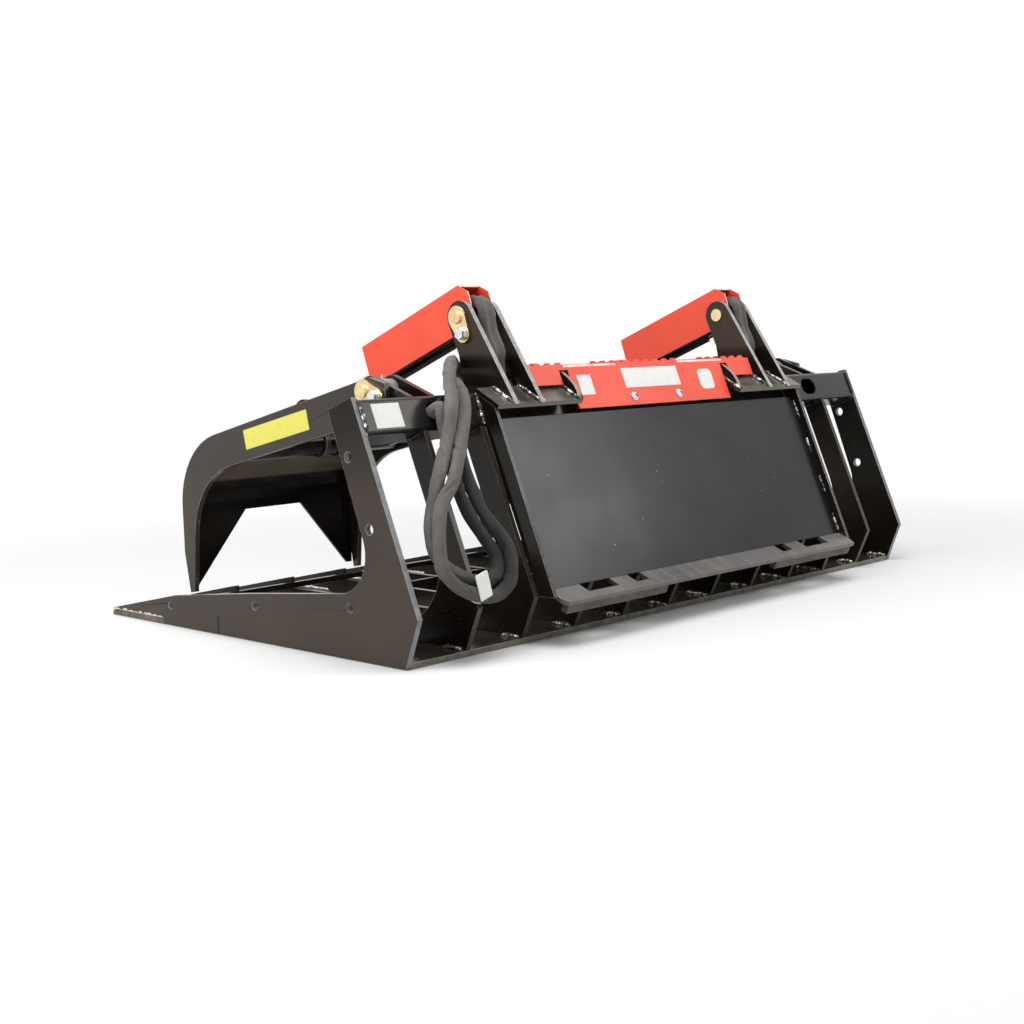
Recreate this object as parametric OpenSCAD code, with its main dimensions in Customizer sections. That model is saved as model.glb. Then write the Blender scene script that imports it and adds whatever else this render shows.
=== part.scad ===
// Brush grapple for a skid steer: a rack of curved tines under two hooked upper arms,
// each closed by its own hydraulic cylinder. Millimetres, +Z up.
// X runs across the grapple and the tine tips point along -Y.
// The origin is on the ground, in the middle of the rack's rear bottom edge.

/* [Rack] */
// Overall width over the two side plates
rack_w = 1829; // [1500:1:2100]
// Thickness of the side plates and the tines
plate_t = 12.7; // [9:0.1:16]
// Distance from the rear bottom edge to the tine tips
rack_reach = 1029; // [980:1:1100]
// Number of inner tines on each side of the middle
tines_per_side = 5; // [5:1:5]
// Height of the hump where the tips begin
hump_h = 71; // [66:1:78]
// Distance from the rear edge to the hump
hump_y = 770; // [755:1:790]
// Height of the side plate's top edge near its middle
side_mid_h = 103; // [98:1:110]
// Distance from the rear edge to the side plate's middle point
side_mid_y = 487; // [470:1:500]
// Lean of the uprights towards the tips, in degrees
lean = 22.3; // [20:0.1:24]
// Radius between a side plate's upright and its base
side_fillet_r = 85; // [70:1:95]
// Width of the inner tines' uprights
tine_w = 57; // [50:0.5:64]
// Radius between an inner tine's upright and its base
tine_fillet_r = 140; // [120:1:150]
// Diameter of the two plain holes beside each side plate's upright
side_hole_d = 22; // [18:0.5:30]
// Diameter of the three plain holes along each side plate's base
base_hole_d = 19; // [16:0.5:24]
// Width of the plate under the rear of the tines
cross_plate_w = 152; // [130:1:170]
// Thickness of the plate under the rear of the tines
cross_plate_t = 12; // [10:0.5:14]
// Height of the flat bar let into the tines
cross_bar_h = 44; // [38:1:46]
// Thickness of the flat bar let into the tines
cross_bar_t = 10; // [8:0.5:14]
// Side of the square bar behind the humps
hump_bar_w = 13; // [12:0.5:15]

/* [Top tube] */
// Outside width of the square top tube
tube_w = 76.2; // [70:0.1:82]
// Wall of the square top tube
tube_wall = 6.35; // [4:0.05:9]
// Corner radius of the square top tube
tube_r = 9; // [7:0.5:12]

/* [Coupler] */
// Width of the skid steer coupler over its end flanges
coupler_w = 1143; // [1130:1:1150]
// Thickness of the coupler's plates
coupler_t = 9.5; // [8:0.1:11]
// Depth of the end flanges behind the uprights
flange_d = 42; // [40:0.5:46]
// Inner end of each top lip, from the middle
lip_inner_x = 294; // [285:1:305]
// Slope of the top lips below level, in degrees
lip_slope = 28; // [26:0.5:30]
// Depth of the top lips
lip_len = 76; // [72:0.5:80]
// Slope of the lower ledge below level, in degrees
ledge_slope = 23; // [20:0.5:26]
// Depth of the lower ledge
ledge_len = 54; // [50:0.5:58]

/* [Cylinders] */
// Distance of each cylinder from the middle
cyl_x = 474; // [468:1:480]
// Height of the cylinder's base pin
base_pin_z = 683; // [676:1:690]
// Distance of the base pin in front of the rear edge
base_pin_y = 226; // [220:1:232]
// Slope of the closed cylinder below level, in degrees
cyl_slope = 21.7; // [20.5:0.1:23]
// Distance between the cylinder's pins with the arm closed
cyl_len = 606; // [596:1:616]
// Outside diameter of the barrel
barrel_d = 57; // [52:0.5:59]
// Diameter of the rod
rod_d = 32; // [28:0.5:34]
// Diameter of the flag pins
pin_d = 31.75; // [28:0.25:33]
// Thickness of the ears that hold the base pins
ear_t = 12.7; // [10:0.1:14]
// Clear gap between a pair of ears
ear_gap = 69; // [68:0.5:74]

/* [Arms] */
// Outer face of the outer hook plate, from the middle
hook_out_x = 770.7; // [765:0.1:776]
// Inner face of the inner hook plate, from the middle
hook_in_x = 243.3; // [240:0.1:255]
// Height of the arm's pivot
pivot_z = 532; // [528:1:536]
// Distance of the arm's pivot in front of the rear edge
pivot_y = 256; // [252:1:262]
// Length of the pivot boss between its two lugs
boss_len = 46.6; // [40:0.1:50]
// Diameter of the cross tube inside each arm
arm_tube_d = 60.3; // [56:0.1:64]
// Thickness of the skirt plate between the hook plates
skirt_t = 8; // [6:0.5:10]

/* [Step cover] */
// Thickness of the folded step cover
cover_t = 3.5; // [3:0.1:5]
// Half width of the cover at its top
cover_half_w = 416; // [405:1:420]
// Depth of the step
tread_d = 80; // [60:1:84]
// Spacing of the grip teeth
tooth_pitch = 35; // [30:0.5:40]

/* [Hoses] */
// Outside diameter of the sleeved supply hoses
hose_d = 26; // [22:0.5:28]
// Outside diameter of the sleeved cylinder hoses
cyl_hose_d = 22; // [18:0.5:24]

/* [Hidden] */
$fn = 64;

// Colours as the grapple is painted and plated
paint_black = [0.09, 0.085, 0.08];
paint_red = [0.93, 0.16, 0.07];
raw_edge = [0.35, 0.31, 0.26];
yellow_zinc = [0.83, 0.74, 0.42];
bright_zinc = [0.78, 0.79, 0.8];
chrome_grey = [0.72, 0.73, 0.75];
sleeve_grey = [0.42, 0.4, 0.39];

// Clearances and overruns
weld_gap = 0.25;
slide_gap = 0.5;
run_gap = 0.06;
over = 2;

// The uprights' rear line starts at a kink above the rear bottom edge
kink_y = 39;
kink_z = 102;
side_x = rack_w / 2;
tine_pitch = (rack_w - plate_t) / (2 * tines_per_side + 1);

// A point at height s along the uprights' rear line and distance d behind it, as [y, z]
function rear(s, d) = [kink_y - sin(lean) * s + cos(lean) * d, kink_z + cos(lean) * s + sin(lean) * d];

// A point at distance a along the closed cylinder from its base pin and p above its axis
function cyl_pt(a, p) = [-base_pin_y - cos(cyl_slope) * a - sin(cyl_slope) * p,
    base_pin_z - sin(cyl_slope) * a + cos(cyl_slope) * p];

// One corner of an outline, rounded to radius r with n steps
function corner(a, b, c, r, n) =
    let (u = (a - b) / norm(a - b), v = (c - b) / norm(c - b), half = acos(u * v) / 2,
         cut = r / tan(half), mid = b + (u + v) / norm(u + v) * r / sin(half),
         p = b + u * cut, q = b + v * cut,
         a0 = atan2(p[1] - mid[1], p[0] - mid[0]), a1 = atan2(q[1] - mid[1], q[0] - mid[0]),
         sweep = a1 - a0 > 180 ? a1 - a0 - 360 : a1 - a0 < -180 ? a1 - a0 + 360 : a1 - a0)
    [for (i = [0 : n]) mid + r * [cos(a0 + sweep * i / n), sin(a0 + sweep * i / n)]];

// An outline from [y, z, radius] corners
function outline(c) = [for (i = [0 : len(c) - 1])
    let (p = c[(i + len(c) - 1) % len(c)], m = c[i], q = c[(i + 1) % len(c)])
    each m[2] == 0 ? [[m[0], m[1]]] : corner([p[0], p[1]], [m[0], m[1]], [q[0], q[1]], m[2], 12)];

// The point where the line from p touches a circle, side is 1 or -1
function touch(mid, r, p, side) =
    let (v = p - mid, far = norm(v), a = acos(r / far), b = atan2(v[1], v[0]))
    mid + r * [cos(b + side * a), sin(b + side * a)];

// Joins a corner point with its rounding radius
function with_r(p, r) = [p[0], p[1], r];

// A plate in the Y-Z plane from x0 to x0 + t
module slab(x0, t) {
    translate([x0, 0, 0]) rotate([90, 0, 90]) linear_extrude(t) children();
}

// The same shape on both sides of the middle
module both() {
    children();
    mirror([1, 0, 0]) children();
}

// A round bar along X, centred on x at [y, z]
module bar_x(x, at, r, length) {
    translate([x - length / 2, at[0], at[1]]) rotate([0, 90, 0]) cylinder(r = r, h = length);
}

// Side plates and tines
top_s = 456;
side_rise = 4;
side_top_s = top_s + side_rise;
side_front_y = 207;
side_front_z = 500;
side_heel_y = 75.5;
side_heel_z = 143;
tip_h = 10;
tip_nose = 3;
wear_y = 816;
wear_h = 14;
cross_bar_y = 607;
hump_back = 5;
hump_drop = 25;
cross_bar_set_back = 2.5;
tine_mid_z = hump_h - hump_drop;
// Side plate's holes: two beside its upright, then behind the hump, by the middle and above the heel
side_hole_top_s = 356;
side_hole_low_s = 204;
side_hole_front = 59;
side_hole_tip_share = 0.062;
side_hole_tip_z = 46;
side_hole_mid_back = 15;
side_hole_mid_z = 78;
side_hole_heel_y = 160;
side_hole_heel_z = 105;
upright_holes = [rear(side_hole_top_s, -side_hole_front), rear(side_hole_low_s, -side_hole_front)];
base_holes = [[-hump_y - side_hole_tip_share * (rack_reach - hump_y), side_hole_tip_z],
    [-side_mid_y + side_hole_mid_back, side_hole_mid_z], [-side_hole_heel_y, side_hole_heel_z]];

module wear_notch() {
    polygon([[-rack_reach - over, -over], [-rack_reach - over, wear_h / 2], [-rack_reach + wear_h, wear_h],
        [-wear_y, wear_h], [-wear_y, -over]]);
}

module bar_slot() {
    translate([-cross_bar_y - cross_bar_t / 2 - weld_gap, -over])
        square([cross_bar_t + 2 * weld_gap, cross_bar_h + weld_gap + over]);
}

module side_outline() {
    difference() {
        polygon(outline([[0, 0, 0], [kink_y, kink_z, 0],
            with_r(rear(side_top_s, 0), 0), [-side_front_y, side_front_z, 0],
            [-side_heel_y, side_heel_z, side_fillet_r],
            [-side_mid_y, side_mid_h, 0], [-hump_y, hump_h, 0],
            [-rack_reach + tip_nose, tip_h + wear_h / 2, 0],
            [-rack_reach, wear_h / 2, 0], [-rack_reach, 0, 0]]));
        wear_notch();
        bar_slot();
    }
}

module side_plate() {
    color(paint_black) difference() {
        slab(side_x - plate_t, plate_t) side_outline();
        for (p = upright_holes) bar_x(side_x - plate_t / 2, p, side_hole_d / 2, plate_t + over);
        for (p = base_holes) bar_x(side_x - plate_t / 2, p, base_hole_d / 2, plate_t + over);
    }
}

module left_side_plate() { side_plate(); }
module right_side_plate() { mirror([1, 0, 0]) side_plate(); }

// Behind the coupler plate the tines' uprights reach back to it
module tine_outline(back) {
    difference() {
        polygon(outline([[0, cross_plate_t + weld_gap, 0], with_r(rear(back / 2, back), 0),
            with_r(rear(top_s - tube_w - weld_gap, back), 0),
            with_r(rear(top_s - tube_w - weld_gap, -tine_w), 0),
            with_r(rear((tine_mid_z - kink_z + sin(lean) * tine_w) / cos(lean), -tine_w), tine_fillet_r),
            [-hump_y + hump_back, tine_mid_z, 0], [-hump_y + hump_back, hump_h, 0], [-hump_y, hump_h, 0],
            [-rack_reach + tip_nose, tip_h + wear_h / 2, 0], [-rack_reach, wear_h / 2, 0],
            [-rack_reach, 0, 0], [-cross_plate_w - weld_gap, 0, 0],
            [-cross_plate_w - weld_gap, cross_plate_t + weld_gap, 0]]));
        wear_notch();
        bar_slot();
    }
}

plate_rear_d = 24;
plate_front_d = plate_rear_d - coupler_t;

module tine_pair(i) {
    x = tine_pitch * (i - 0.5);
    color(paint_black) both() slab(x - plate_t / 2, plate_t)
        tine_outline(x + plate_t / 2 < coupler_w / 2 - coupler_t ? plate_front_d : 0);
}

module tines_1() { tine_pair(1); }
module tines_2() { tine_pair(2); }
module tines_3() { tine_pair(3); }
module tines_4() { tine_pair(4); }
module tines_5() { tine_pair(5); }

// Hard bars let in under the tips, one below each plate
module tip_wear_bars() {
    wear_end = wear_y + weld_gap;
    color(raw_edge) for (i = [0 : 2 * tines_per_side + 1])
        slab(-side_x + i * tine_pitch, plate_t)
            polygon([[-rack_reach, 0], [-rack_reach, wear_h / 2 - weld_gap],
                [-rack_reach + wear_h, wear_h - weld_gap], [-wear_end, wear_h - weld_gap], [-wear_end, 0]]);
}

// Top tube, with a long hole near each end of its rear face
tube_hole_x = 695;
tube_hole_w = 66;
tube_hole_h = 44;
tube_len = rack_w - 2 * plate_t;

module round_square(w, r) {
    translate([r, r]) square(w - 2 * r);
    for (i = [0, 1], j = [0, 1]) translate([r + i * (w - 2 * r), r + j * (w - 2 * r)]) circle(r);
    translate([r, 0]) square([w - 2 * r, w]);
    translate([0, r]) square([w, w - 2 * r]);
}

// Lays children drawn with x behind the rear line and y up it onto the leaning plane
module leaning(s) {
    p = rear(s, 0);
    translate([0, p[0], p[1]]) rotate([lean, 0, 0]) children();
}

// The tube's outline, grown by g, which also cuts the foot of what is welded on it
module tube_section(g) {
    translate(rear(top_s - tube_w, 0)) rotate(lean) translate([-tube_w - g, -g])
        round_square(tube_w + 2 * g, tube_r + g);
}

module top_tube() {
    color(paint_black) difference() {
        slab(-tube_len / 2, tube_len) difference() {
            tube_section(0);
            tube_section(-tube_wall);
        }
        for (side = [-1, 1]) leaning(top_s - tube_w / 2)
            for (end = [-1, 1])
                translate([side * tube_hole_x + end * (tube_hole_w - tube_hole_h) / 2, over, 0])
                    rotate([90, 0, 0]) cylinder(d = tube_hole_h, h = tube_wall + 2 * over);
        for (side = [-1, 1]) leaning(top_s - tube_w / 2)
            translate([side * tube_hole_x - (tube_hole_w - tube_hole_h) / 2, -tube_wall - over,
                    -tube_hole_h / 2]) cube([tube_hole_w - tube_hole_h, tube_wall + 2 * over, tube_hole_h]);
    }
}

module rear_cross_plate() {
    rear_over = 2;
    color(paint_black) translate([-side_x + plate_t, -cross_plate_w, 0])
        cube([rack_w - 2 * plate_t, cross_plate_w + rear_over, cross_plate_t]);
}

// One flat bar through the slots, and one square bar in the steps behind the humps
module front_cross_bars() {
    color(paint_black) {
        translate([cross_bar_set_back - side_x, -cross_bar_y - cross_bar_t / 2, 0])
            cube([rack_w - 2 * cross_bar_set_back, cross_bar_t, cross_bar_h]);
        translate([-side_x + plate_t + weld_gap, -hump_y + hump_back + weld_gap, tine_mid_z + 2 * weld_gap])
            cube([rack_w - 2 * (plate_t + weld_gap), hump_bar_w, hump_bar_w]);
    }
}

// Coupler
plate_top_s = 385;
ledge_s = 5.3;
ledge_start = rear(ledge_s, plate_rear_d);
slot_w = 27;
slot_shares = [[0.3202, 0.4077], [0.2292, 0.2677]];
ledge_bar_x0 = 212;
ledge_bar_h = 22;
ledge_bar_t = 17;
ledge_chamfer = 14;
flange_low_s = -16;
coupler_in_x = coupler_w / 2 - coupler_t - weld_gap;

module coupler_plate() {
    corner_r = 14;
    color([0.2, 0.19, 0.19]) difference() {
        leaning(0) translate([-coupler_in_x, plate_front_d, 0]) rotate([90, 0, 0])
            mirror([0, 0, 1]) linear_extrude(coupler_t) difference() {
                square([2 * coupler_in_x, plate_top_s]);
                for (m = [0, 1]) translate([m * 2 * coupler_in_x, 0]) mirror([m, 0])
                    translate([0, plate_top_s]) polygon([[-over, over], [corner_r, over],
                        [corner_r, 0], [0, -corner_r], [-over, -corner_r]]);
            }
        // It stands on the ledge
        slab(-coupler_w / 2, coupler_w) translate(ledge_start) rotate(-ledge_slope)
            translate([-4 * coupler_t, -4 * coupler_t]) square([8 * coupler_t, 4 * coupler_t + weld_gap]);
    }
}

// Lip section: it leaves the tube's top rear corner and slopes down to the rear
lip_foot = rear(top_s, 0) + [weld_gap, weld_gap];
lip_dir = [cos(lip_slope), -sin(lip_slope)];
lip_up = [sin(lip_slope), cos(lip_slope)];

module lip_section(g) {
    polygon([lip_foot - g * lip_up, lip_foot + lip_len * lip_dir - g * lip_up,
        lip_foot + lip_len * lip_dir + (coupler_t + g) * lip_up, lip_foot + (coupler_t + g) * lip_up]);
}

module coupler_lips() {
    color(paint_black) both() difference() {
        slab(lip_inner_x, coupler_w / 2 - lip_inner_x) lip_section(0);
        translate([lip_inner_x, lip_foot[0] + lip_len * lip_dir[0], 0])
            rotate([0, 0, 45]) cube([ledge_chamfer, ledge_chamfer, base_pin_z * 2], center = true);
    }
}

// Curved gusset standing at the inner end of each lip
module lip_gussets() {
    top_h = 26;
    top_back = 8;
    foot_in = 6;
    front = 18;
    top_p = lip_foot + coupler_t * lip_up + [top_back, top_h];
    low_p = lip_foot + (lip_len - foot_in) * lip_dir + (coupler_t + weld_gap) * lip_up;
    bulge = 9;
    steps = 10;
    color(paint_black) both() slab(lip_inner_x + foot_in, coupler_t) difference() {
        polygon(concat([for (i = [0 : steps]) let (k = i / steps) top_p + k * (low_p - top_p)
                + bulge * sin(180 * k) * [cos(lean), sin(lean)]],
            [lip_foot + (coupler_t + weld_gap) * lip_up, lip_foot, rear(top_s - tube_r, -front),
             [rear(top_s, -front)[0], top_p[1]]]));
        tube_section(weld_gap);
        lip_section(weld_gap);
    }
}

module ledge_section(from, to) {
    dir = [cos(ledge_slope), -sin(ledge_slope)];
    up = [sin(ledge_slope), cos(ledge_slope)];
    polygon([ledge_start + from * dir, ledge_start + to * dir, ledge_start + to * dir - coupler_t * up,
        ledge_start + from * dir - coupler_t * up]);
}

module coupler_ledge() {
    half_w = coupler_in_x - weld_gap;
    // The ledge's front edge is under the plate
    color([0.34, 0.33, 0.33]) difference() {
        slab(-half_w, 2 * half_w) ledge_section(-coupler_t / 2, ledge_len);
        for (m = [0, 1]) mirror([m, 0, 0]) {
            for (p = slot_shares) translate([p[0] * coupler_w, ledge_start[0] - slot_w / 2, 0])
                cube([(p[1] - p[0]) * coupler_w, 1.5 * slot_w, 2 * kink_z]);
            translate([half_w, ledge_start[0] + ledge_len * cos(ledge_slope), 0])
                rotate([0, 0, 25]) cube([ledge_chamfer, 4 * ledge_chamfer, 4 * kink_z], center = true);
        }
    }
}

module ledge_bars() {
    dir = [cos(ledge_slope), -sin(ledge_slope)];
    up = [sin(ledge_slope), cos(ledge_slope)];
    setback = 3;
    p = ledge_start + (ledge_len - setback) * dir - (coupler_t + weld_gap) * up;
    color(raw_edge) both() slab(ledge_bar_x0, coupler_in_x - ledge_bar_x0 - ledge_chamfer)
        polygon([p, p - ledge_bar_t * dir, p - ledge_bar_t * dir - ledge_bar_h * up, p - ledge_bar_h * up]);
}

module coupler_flanges() {
    rib_gap = 1;
    color(paint_black) both() slab(coupler_w / 2 - coupler_t, coupler_t) difference() {
        polygon([rear(flange_low_s, flange_d), rear(top_s, flange_d), rear(top_s, rib_gap),
            rear(0, rib_gap)]);
        // Nothing above the underside of the lip
        polygon([lip_foot - lip_len * lip_dir - weld_gap * lip_up, lip_foot + 2 * lip_len * lip_dir
            - weld_gap * lip_up, lip_foot + 2 * lip_len * (lip_dir + lip_up),
            lip_foot + 2 * lip_len * (lip_up - lip_dir)]);
    }
}

// Ears for the base pins
base_pin = [-base_pin_y, base_pin_z];
ear_r = 36;
ear_front_y = 229;
ear_front_z = 602;
ear_foot_y = 211;
ear_out_x = cyl_x + ear_gap / 2;
ear_in_x = cyl_x - ear_gap / 2 - ear_t;
pin_r = pin_d / 2;
flag_t = 8;
flag_reach = 40;
flag_bolt_r = 8;

module ear_outline() {
    rear_foot = lip_foot + (lip_len - weld_gap) * lip_dir + (coupler_t + weld_gap) * lip_up;
    tube_front = rear(top_s - tube_r, -tube_w);
    difference() {
        union() {
            translate(base_pin) circle(ear_r);
            polygon([touch(base_pin, ear_r, rear_foot, 1), rear_foot,
                lip_foot + (coupler_t + weld_gap) * lip_up, lip_foot, rear(top_s - tube_r, -tube_r),
                tube_front, [-ear_foot_y, tube_front[1] + tube_r], [-ear_front_y, ear_front_z],
                touch(base_pin, ear_r, [-ear_front_y, ear_front_z], -1), base_pin]);
        }
        translate(base_pin) circle(pin_r + run_gap);
        tube_section(weld_gap);
        lip_section(weld_gap);
    }
}

// Where the flag's bolt sits, seen from the pin and turned by a in degrees
function flag_bolt(at, a) = at + flag_reach * [cos(a), sin(a)];
ear_flag_a = -64;
ear_flag_bolt = flag_bolt(base_pin, ear_flag_a);

module ear_pair() {
    color(paint_black) {
        difference() {
            slab(ear_out_x, ear_t) ear_outline();
            bar_x(ear_out_x + ear_t / 2, ear_flag_bolt, flag_bolt_r + slide_gap, ear_t + over);
        }
        slab(ear_in_x, ear_t) ear_outline();
    }
}

module left_ears() { ear_pair(); }
module right_ears() { mirror([1, 0, 0]) ear_pair(); }

// A pin along X with a flag plate on its outer end, from x0 to x1
module flag_pin(x0, x1, at, a) {
    flag_r = 25;
    flag_end_r = 19;
    head_h = 6;
    bolt_at = flag_bolt(at, a);
    side_a = acos((flag_r - flag_end_r) / flag_reach);
    color(yellow_zinc) {
        bar_x((x0 + x1) / 2, at, pin_r, x1 - x0);
        slab(x1, flag_t) difference() {
            union() {
                translate(at) circle(flag_r);
                translate(bolt_at) circle(flag_end_r);
                polygon([at + flag_r * [cos(a + side_a), sin(a + side_a)],
                    bolt_at + flag_end_r * [cos(a + side_a), sin(a + side_a)],
                    bolt_at + flag_end_r * [cos(a - side_a), sin(a - side_a)],
                    at + flag_r * [cos(a - side_a), sin(a - side_a)]]);
            }
            translate(bolt_at) circle(flag_bolt_r + slide_gap);
        }
        bar_x(x1 + flag_t + head_h / 2, at, pin_r * 0.9, head_h);
    }
}

// Hex bolt along X through the flag, its head outside x1, its shank back to x0
module flag_bolt_x(x0, x1, at) {
    head_h = 9;
    head_d = 26;
    washer_t = 3;
    washer_d = 30;
    color(bright_zinc) {
        bar_x((x0 + x1) / 2, at, flag_bolt_r, x1 - x0);
        bar_x(x1 + washer_t / 2, at, washer_d / 2, washer_t);
        translate([x1 + washer_t, at[0], at[1]]) rotate([0, 90, 0])
            cylinder(d = head_d, h = head_h, $fn = 6);
    }
}

module base_pins() {
    inner_stub = 5;
    both() flag_pin(ear_in_x - inner_stub, ear_out_x + ear_t + slide_gap, base_pin, ear_flag_a);
}

module base_pin_bolts() {
    both() flag_bolt_x(ear_out_x, ear_out_x + ear_t + slide_gap + flag_t + weld_gap, ear_flag_bolt);
}

// Hinge lugs on the top tube: a pair at each end of an arm
pivot = [-pivot_y, pivot_z];
lug_r = 32;
lug_t = 12.4;
hook_t = 12.7;
hook_gap = 0.6;
outer_lug_x = hook_out_x - hook_t - hook_gap - lug_t;
outer_boss_x = outer_lug_x - hook_gap / 2 - boss_len / 2;
inner_lug_x = hook_in_x + hook_t + hook_gap;
inner_boss_x = inner_lug_x + lug_t + hook_gap / 2 + boss_len / 2;

module lug_outline() {
    top_rear = rear(top_s + weld_gap, -tube_r / 2);
    foot_low = rear(top_s - tube_w + tube_r, -tube_w - tube_wall);
    difference() {
        union() {
            translate(pivot) circle(lug_r);
            polygon([touch(pivot, lug_r, top_rear, 1), top_rear, rear(top_s - tube_w / 2, -tube_w / 2),
                rear(top_s - tube_w + tube_r, -tube_w / 2), foot_low,
                touch(pivot, lug_r, foot_low, -1), pivot]);
        }
        translate(pivot) circle(pin_r + run_gap);
        tube_section(weld_gap);
    }
}

module lug_set() {
    color(paint_black) {
        slab(outer_lug_x, lug_t) lug_outline();
        slab(outer_lug_x - boss_len - hook_gap - lug_t, lug_t) lug_outline();
        slab(inner_lug_x, lug_t) lug_outline();
        slab(inner_lug_x + boss_len + hook_gap + lug_t, lug_t) lug_outline();
    }
}

module left_hinge_lugs() { lug_set(); }
module right_hinge_lugs() { mirror([1, 0, 0]) lug_set(); }

// Step cover: a leaning rear panel, cut away round the gussets, with a step folded forward
cover_d = plate_rear_d + slide_gap;
cover_low_gap = 8;
cover_low_s = plate_top_s + cover_low_gap;
cover_end_s = 452;
cover_band_s = 486;
cover_top_s = 497;
cover_mid_half = 288;
cover_end_in = 318;
tooth_h = 7;
tooth_w = 19;
tooth_corner = 2.5;
comb_base_h = 2;
comb_mid_half = 115;
comb_end_in = 302;
comb_end_out = 398;
cover_bolt_x = 85;
cover_bolt_s = 413;
cover_bolt_d = 12;

module tooth_row(h) {
    half = tooth_w / 2;
    count = floor((comb_end_out - half) / tooth_pitch);
    for (i = [-count : count]) let (x = i * tooth_pitch)
        if (abs(x) < comb_mid_half - half || abs(x) > comb_end_in + half)
            translate([x, 0]) polygon([[-half, -over / 2], [half, -over / 2], [half, h - tooth_corner],
                [half - tooth_corner, h], [-half + tooth_corner, h], [-half, h - tooth_corner]]);
    for (ends = [[-comb_end_out, -comb_end_in], [-comb_mid_half, comb_mid_half], [comb_end_in, comb_end_out]])
        translate([ends[0], -over / 2]) square([ends[1] - ends[0], comb_base_h + over / 2]);
}

// The folded sheet seen from its end: the leaning panel, the tread and the lip in front of it
module cover_fold() {
    top_rear = rear(cover_top_s, cover_d + cover_t);
    front = top_rear - [tread_d, 0];
    under_z = top_rear[1] - cover_t;
    lip_h = 12;
    polygon([rear(cover_low_s, cover_d + cover_t), top_rear, front, front - [0, lip_h],
        front + [cover_t, -lip_h], front + [cover_t, -cover_t],
        rear((under_z - kink_z - sin(lean) * cover_d) / cos(lean), cover_d), rear(cover_low_s, cover_d)]);
}

// What is cut away at each end of the panel, below its ends and beside the gussets
module cover_notches() {
    for (m = [0, 1]) mirror([m, 0, 0]) leaning(0) {
        translate([cover_mid_half, cover_d - over, cover_low_s - over])
            cube([cover_half_w - cover_mid_half + over, cover_t + 2 * over,
                cover_end_s - cover_low_s + over]);
        translate([cover_mid_half, cover_d - over, cover_end_s - over])
            cube([cover_end_in - cover_mid_half, cover_t + 2 * over, cover_band_s - cover_end_s + over]);
    }
}

module step_cover() {
    top_rear = rear(cover_top_s, cover_d + cover_t);
    color(paint_red) {
        difference() {
            slab(-cover_half_w, 2 * cover_half_w) cover_fold();
            cover_notches();
            for (side = [-1, 1]) leaning(cover_bolt_s) translate([side * cover_bolt_x, cover_d - over, 0])
                rotate([-90, 0, 0]) cylinder(d = cover_bolt_d + 2 * slide_gap, h = cover_t + 2 * over);
        }
        leaning(0) translate([0, cover_d, 0]) rotate([90, 0, 0]) mirror([0, 0, 1])
            linear_extrude(cover_t) translate([0, cover_top_s]) tooth_row(tooth_h);
        translate([0, top_rear[0] - tread_d + cover_t, top_rear[1]])
            rotate([90, 0, 0]) linear_extrude(cover_t) tooth_row(tooth_h * 0.7);
    }
}

// Button bolts of the cover, each with a spacer back to the tube
module step_bolts() {
    head_d = 22;
    head_h = 7;
    spacer_d = 24;
    color(bright_zinc) for (side = [-1, 1]) leaning(cover_bolt_s) translate([side * cover_bolt_x, 0, 0])
        rotate([-90, 0, 0]) {
            translate([0, 0, weld_gap]) cylinder(d = cover_bolt_d, h = cover_d + cover_t);
            translate([0, 0, weld_gap]) cylinder(d = spacer_d, h = cover_d - 2 * weld_gap);
            translate([0, 0, cover_d + cover_t + weld_gap]) intersection() {
                cylinder(d = head_d, h = head_h);
                translate([0, 0, head_h - head_d * 0.65]) sphere(r = head_d * 0.65);
            }
        }
}

// Blocks on the tube, between the ears, where hoses meet
tee_w = 56;
tee_h = 26;
tee_rear_d = -2;
tee_front_d = -50;

module hose_tee_blocks() {
    color(bright_zinc) both() leaning(top_s + weld_gap)
        translate([cyl_x - tee_w / 2, tee_front_d, 0]) cube([tee_w, tee_rear_d - tee_front_d, tee_h]);
}

// Hose routes, as [x, y, z] points picked by hand; the ends are set by what holds them
hose_side = 14;
hose_end_side = 16;
hose_route_1 = [[462, -240, 510], [468, -262, 530], [482, -270, 556], [504, -260, 576], [534, -236, 586],
    [572, -202, 586], [610, -168, 572], [668, -110, 542], [702, -72, 512], [722, -60, 452],
    [784, -36, 344], [806, -28, 300], [824, -14, 262], [830, 2, 223], [820, 16, 198],
    [800, 28, 178], [752, 39, 155], [722, 38, 155], [692, 33, 162], [676, 24, 180],
    [672, 12, 204], [704, -28, 286], [716, -58, 366], [711, -88, 464]];
hose_route_2 = [[489, -232, 506], [496, -250, 518], [514, -254, 534], [540, -238, 546], [566, -208, 545],
    [626, -125, 535], [668, -70, 494], [706, -44, 430], [732, -26, 396], [762, -12, 352],
    [800, -3, 318], [826, 12, 278], [850, 42, 202], [836, 52, 172], [810, 58, 150],
    [772, 60, 134], [733, 60, 127], [700, 57, 132], [672, 54, 150], [658, 46, 176],
    [653, 34, 206], [657, 18, 234], [677, -18, 290], [686, -52, 368], [679, -86, 464]];

// The two points of a hose that leave a leaning face square, at height up it and dist behind the rear line
function square_end(x, up_s, d0, d1) = [for (d = [d0, d1]) let (p = rear(up_s, d)) [x, p[0], p[1]]];

module supply_hose(route, x0, x1) {
    color(sleeve_grey) swept(concat(
        square_end(x0, top_s + weld_gap + tee_h / 2, tee_front_d - weld_gap, tee_front_d - hose_d), route,
        square_end(x1, top_s - tube_w / 2, hose_d, hose_end_d)), hose_d / 2, 8);
}

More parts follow.
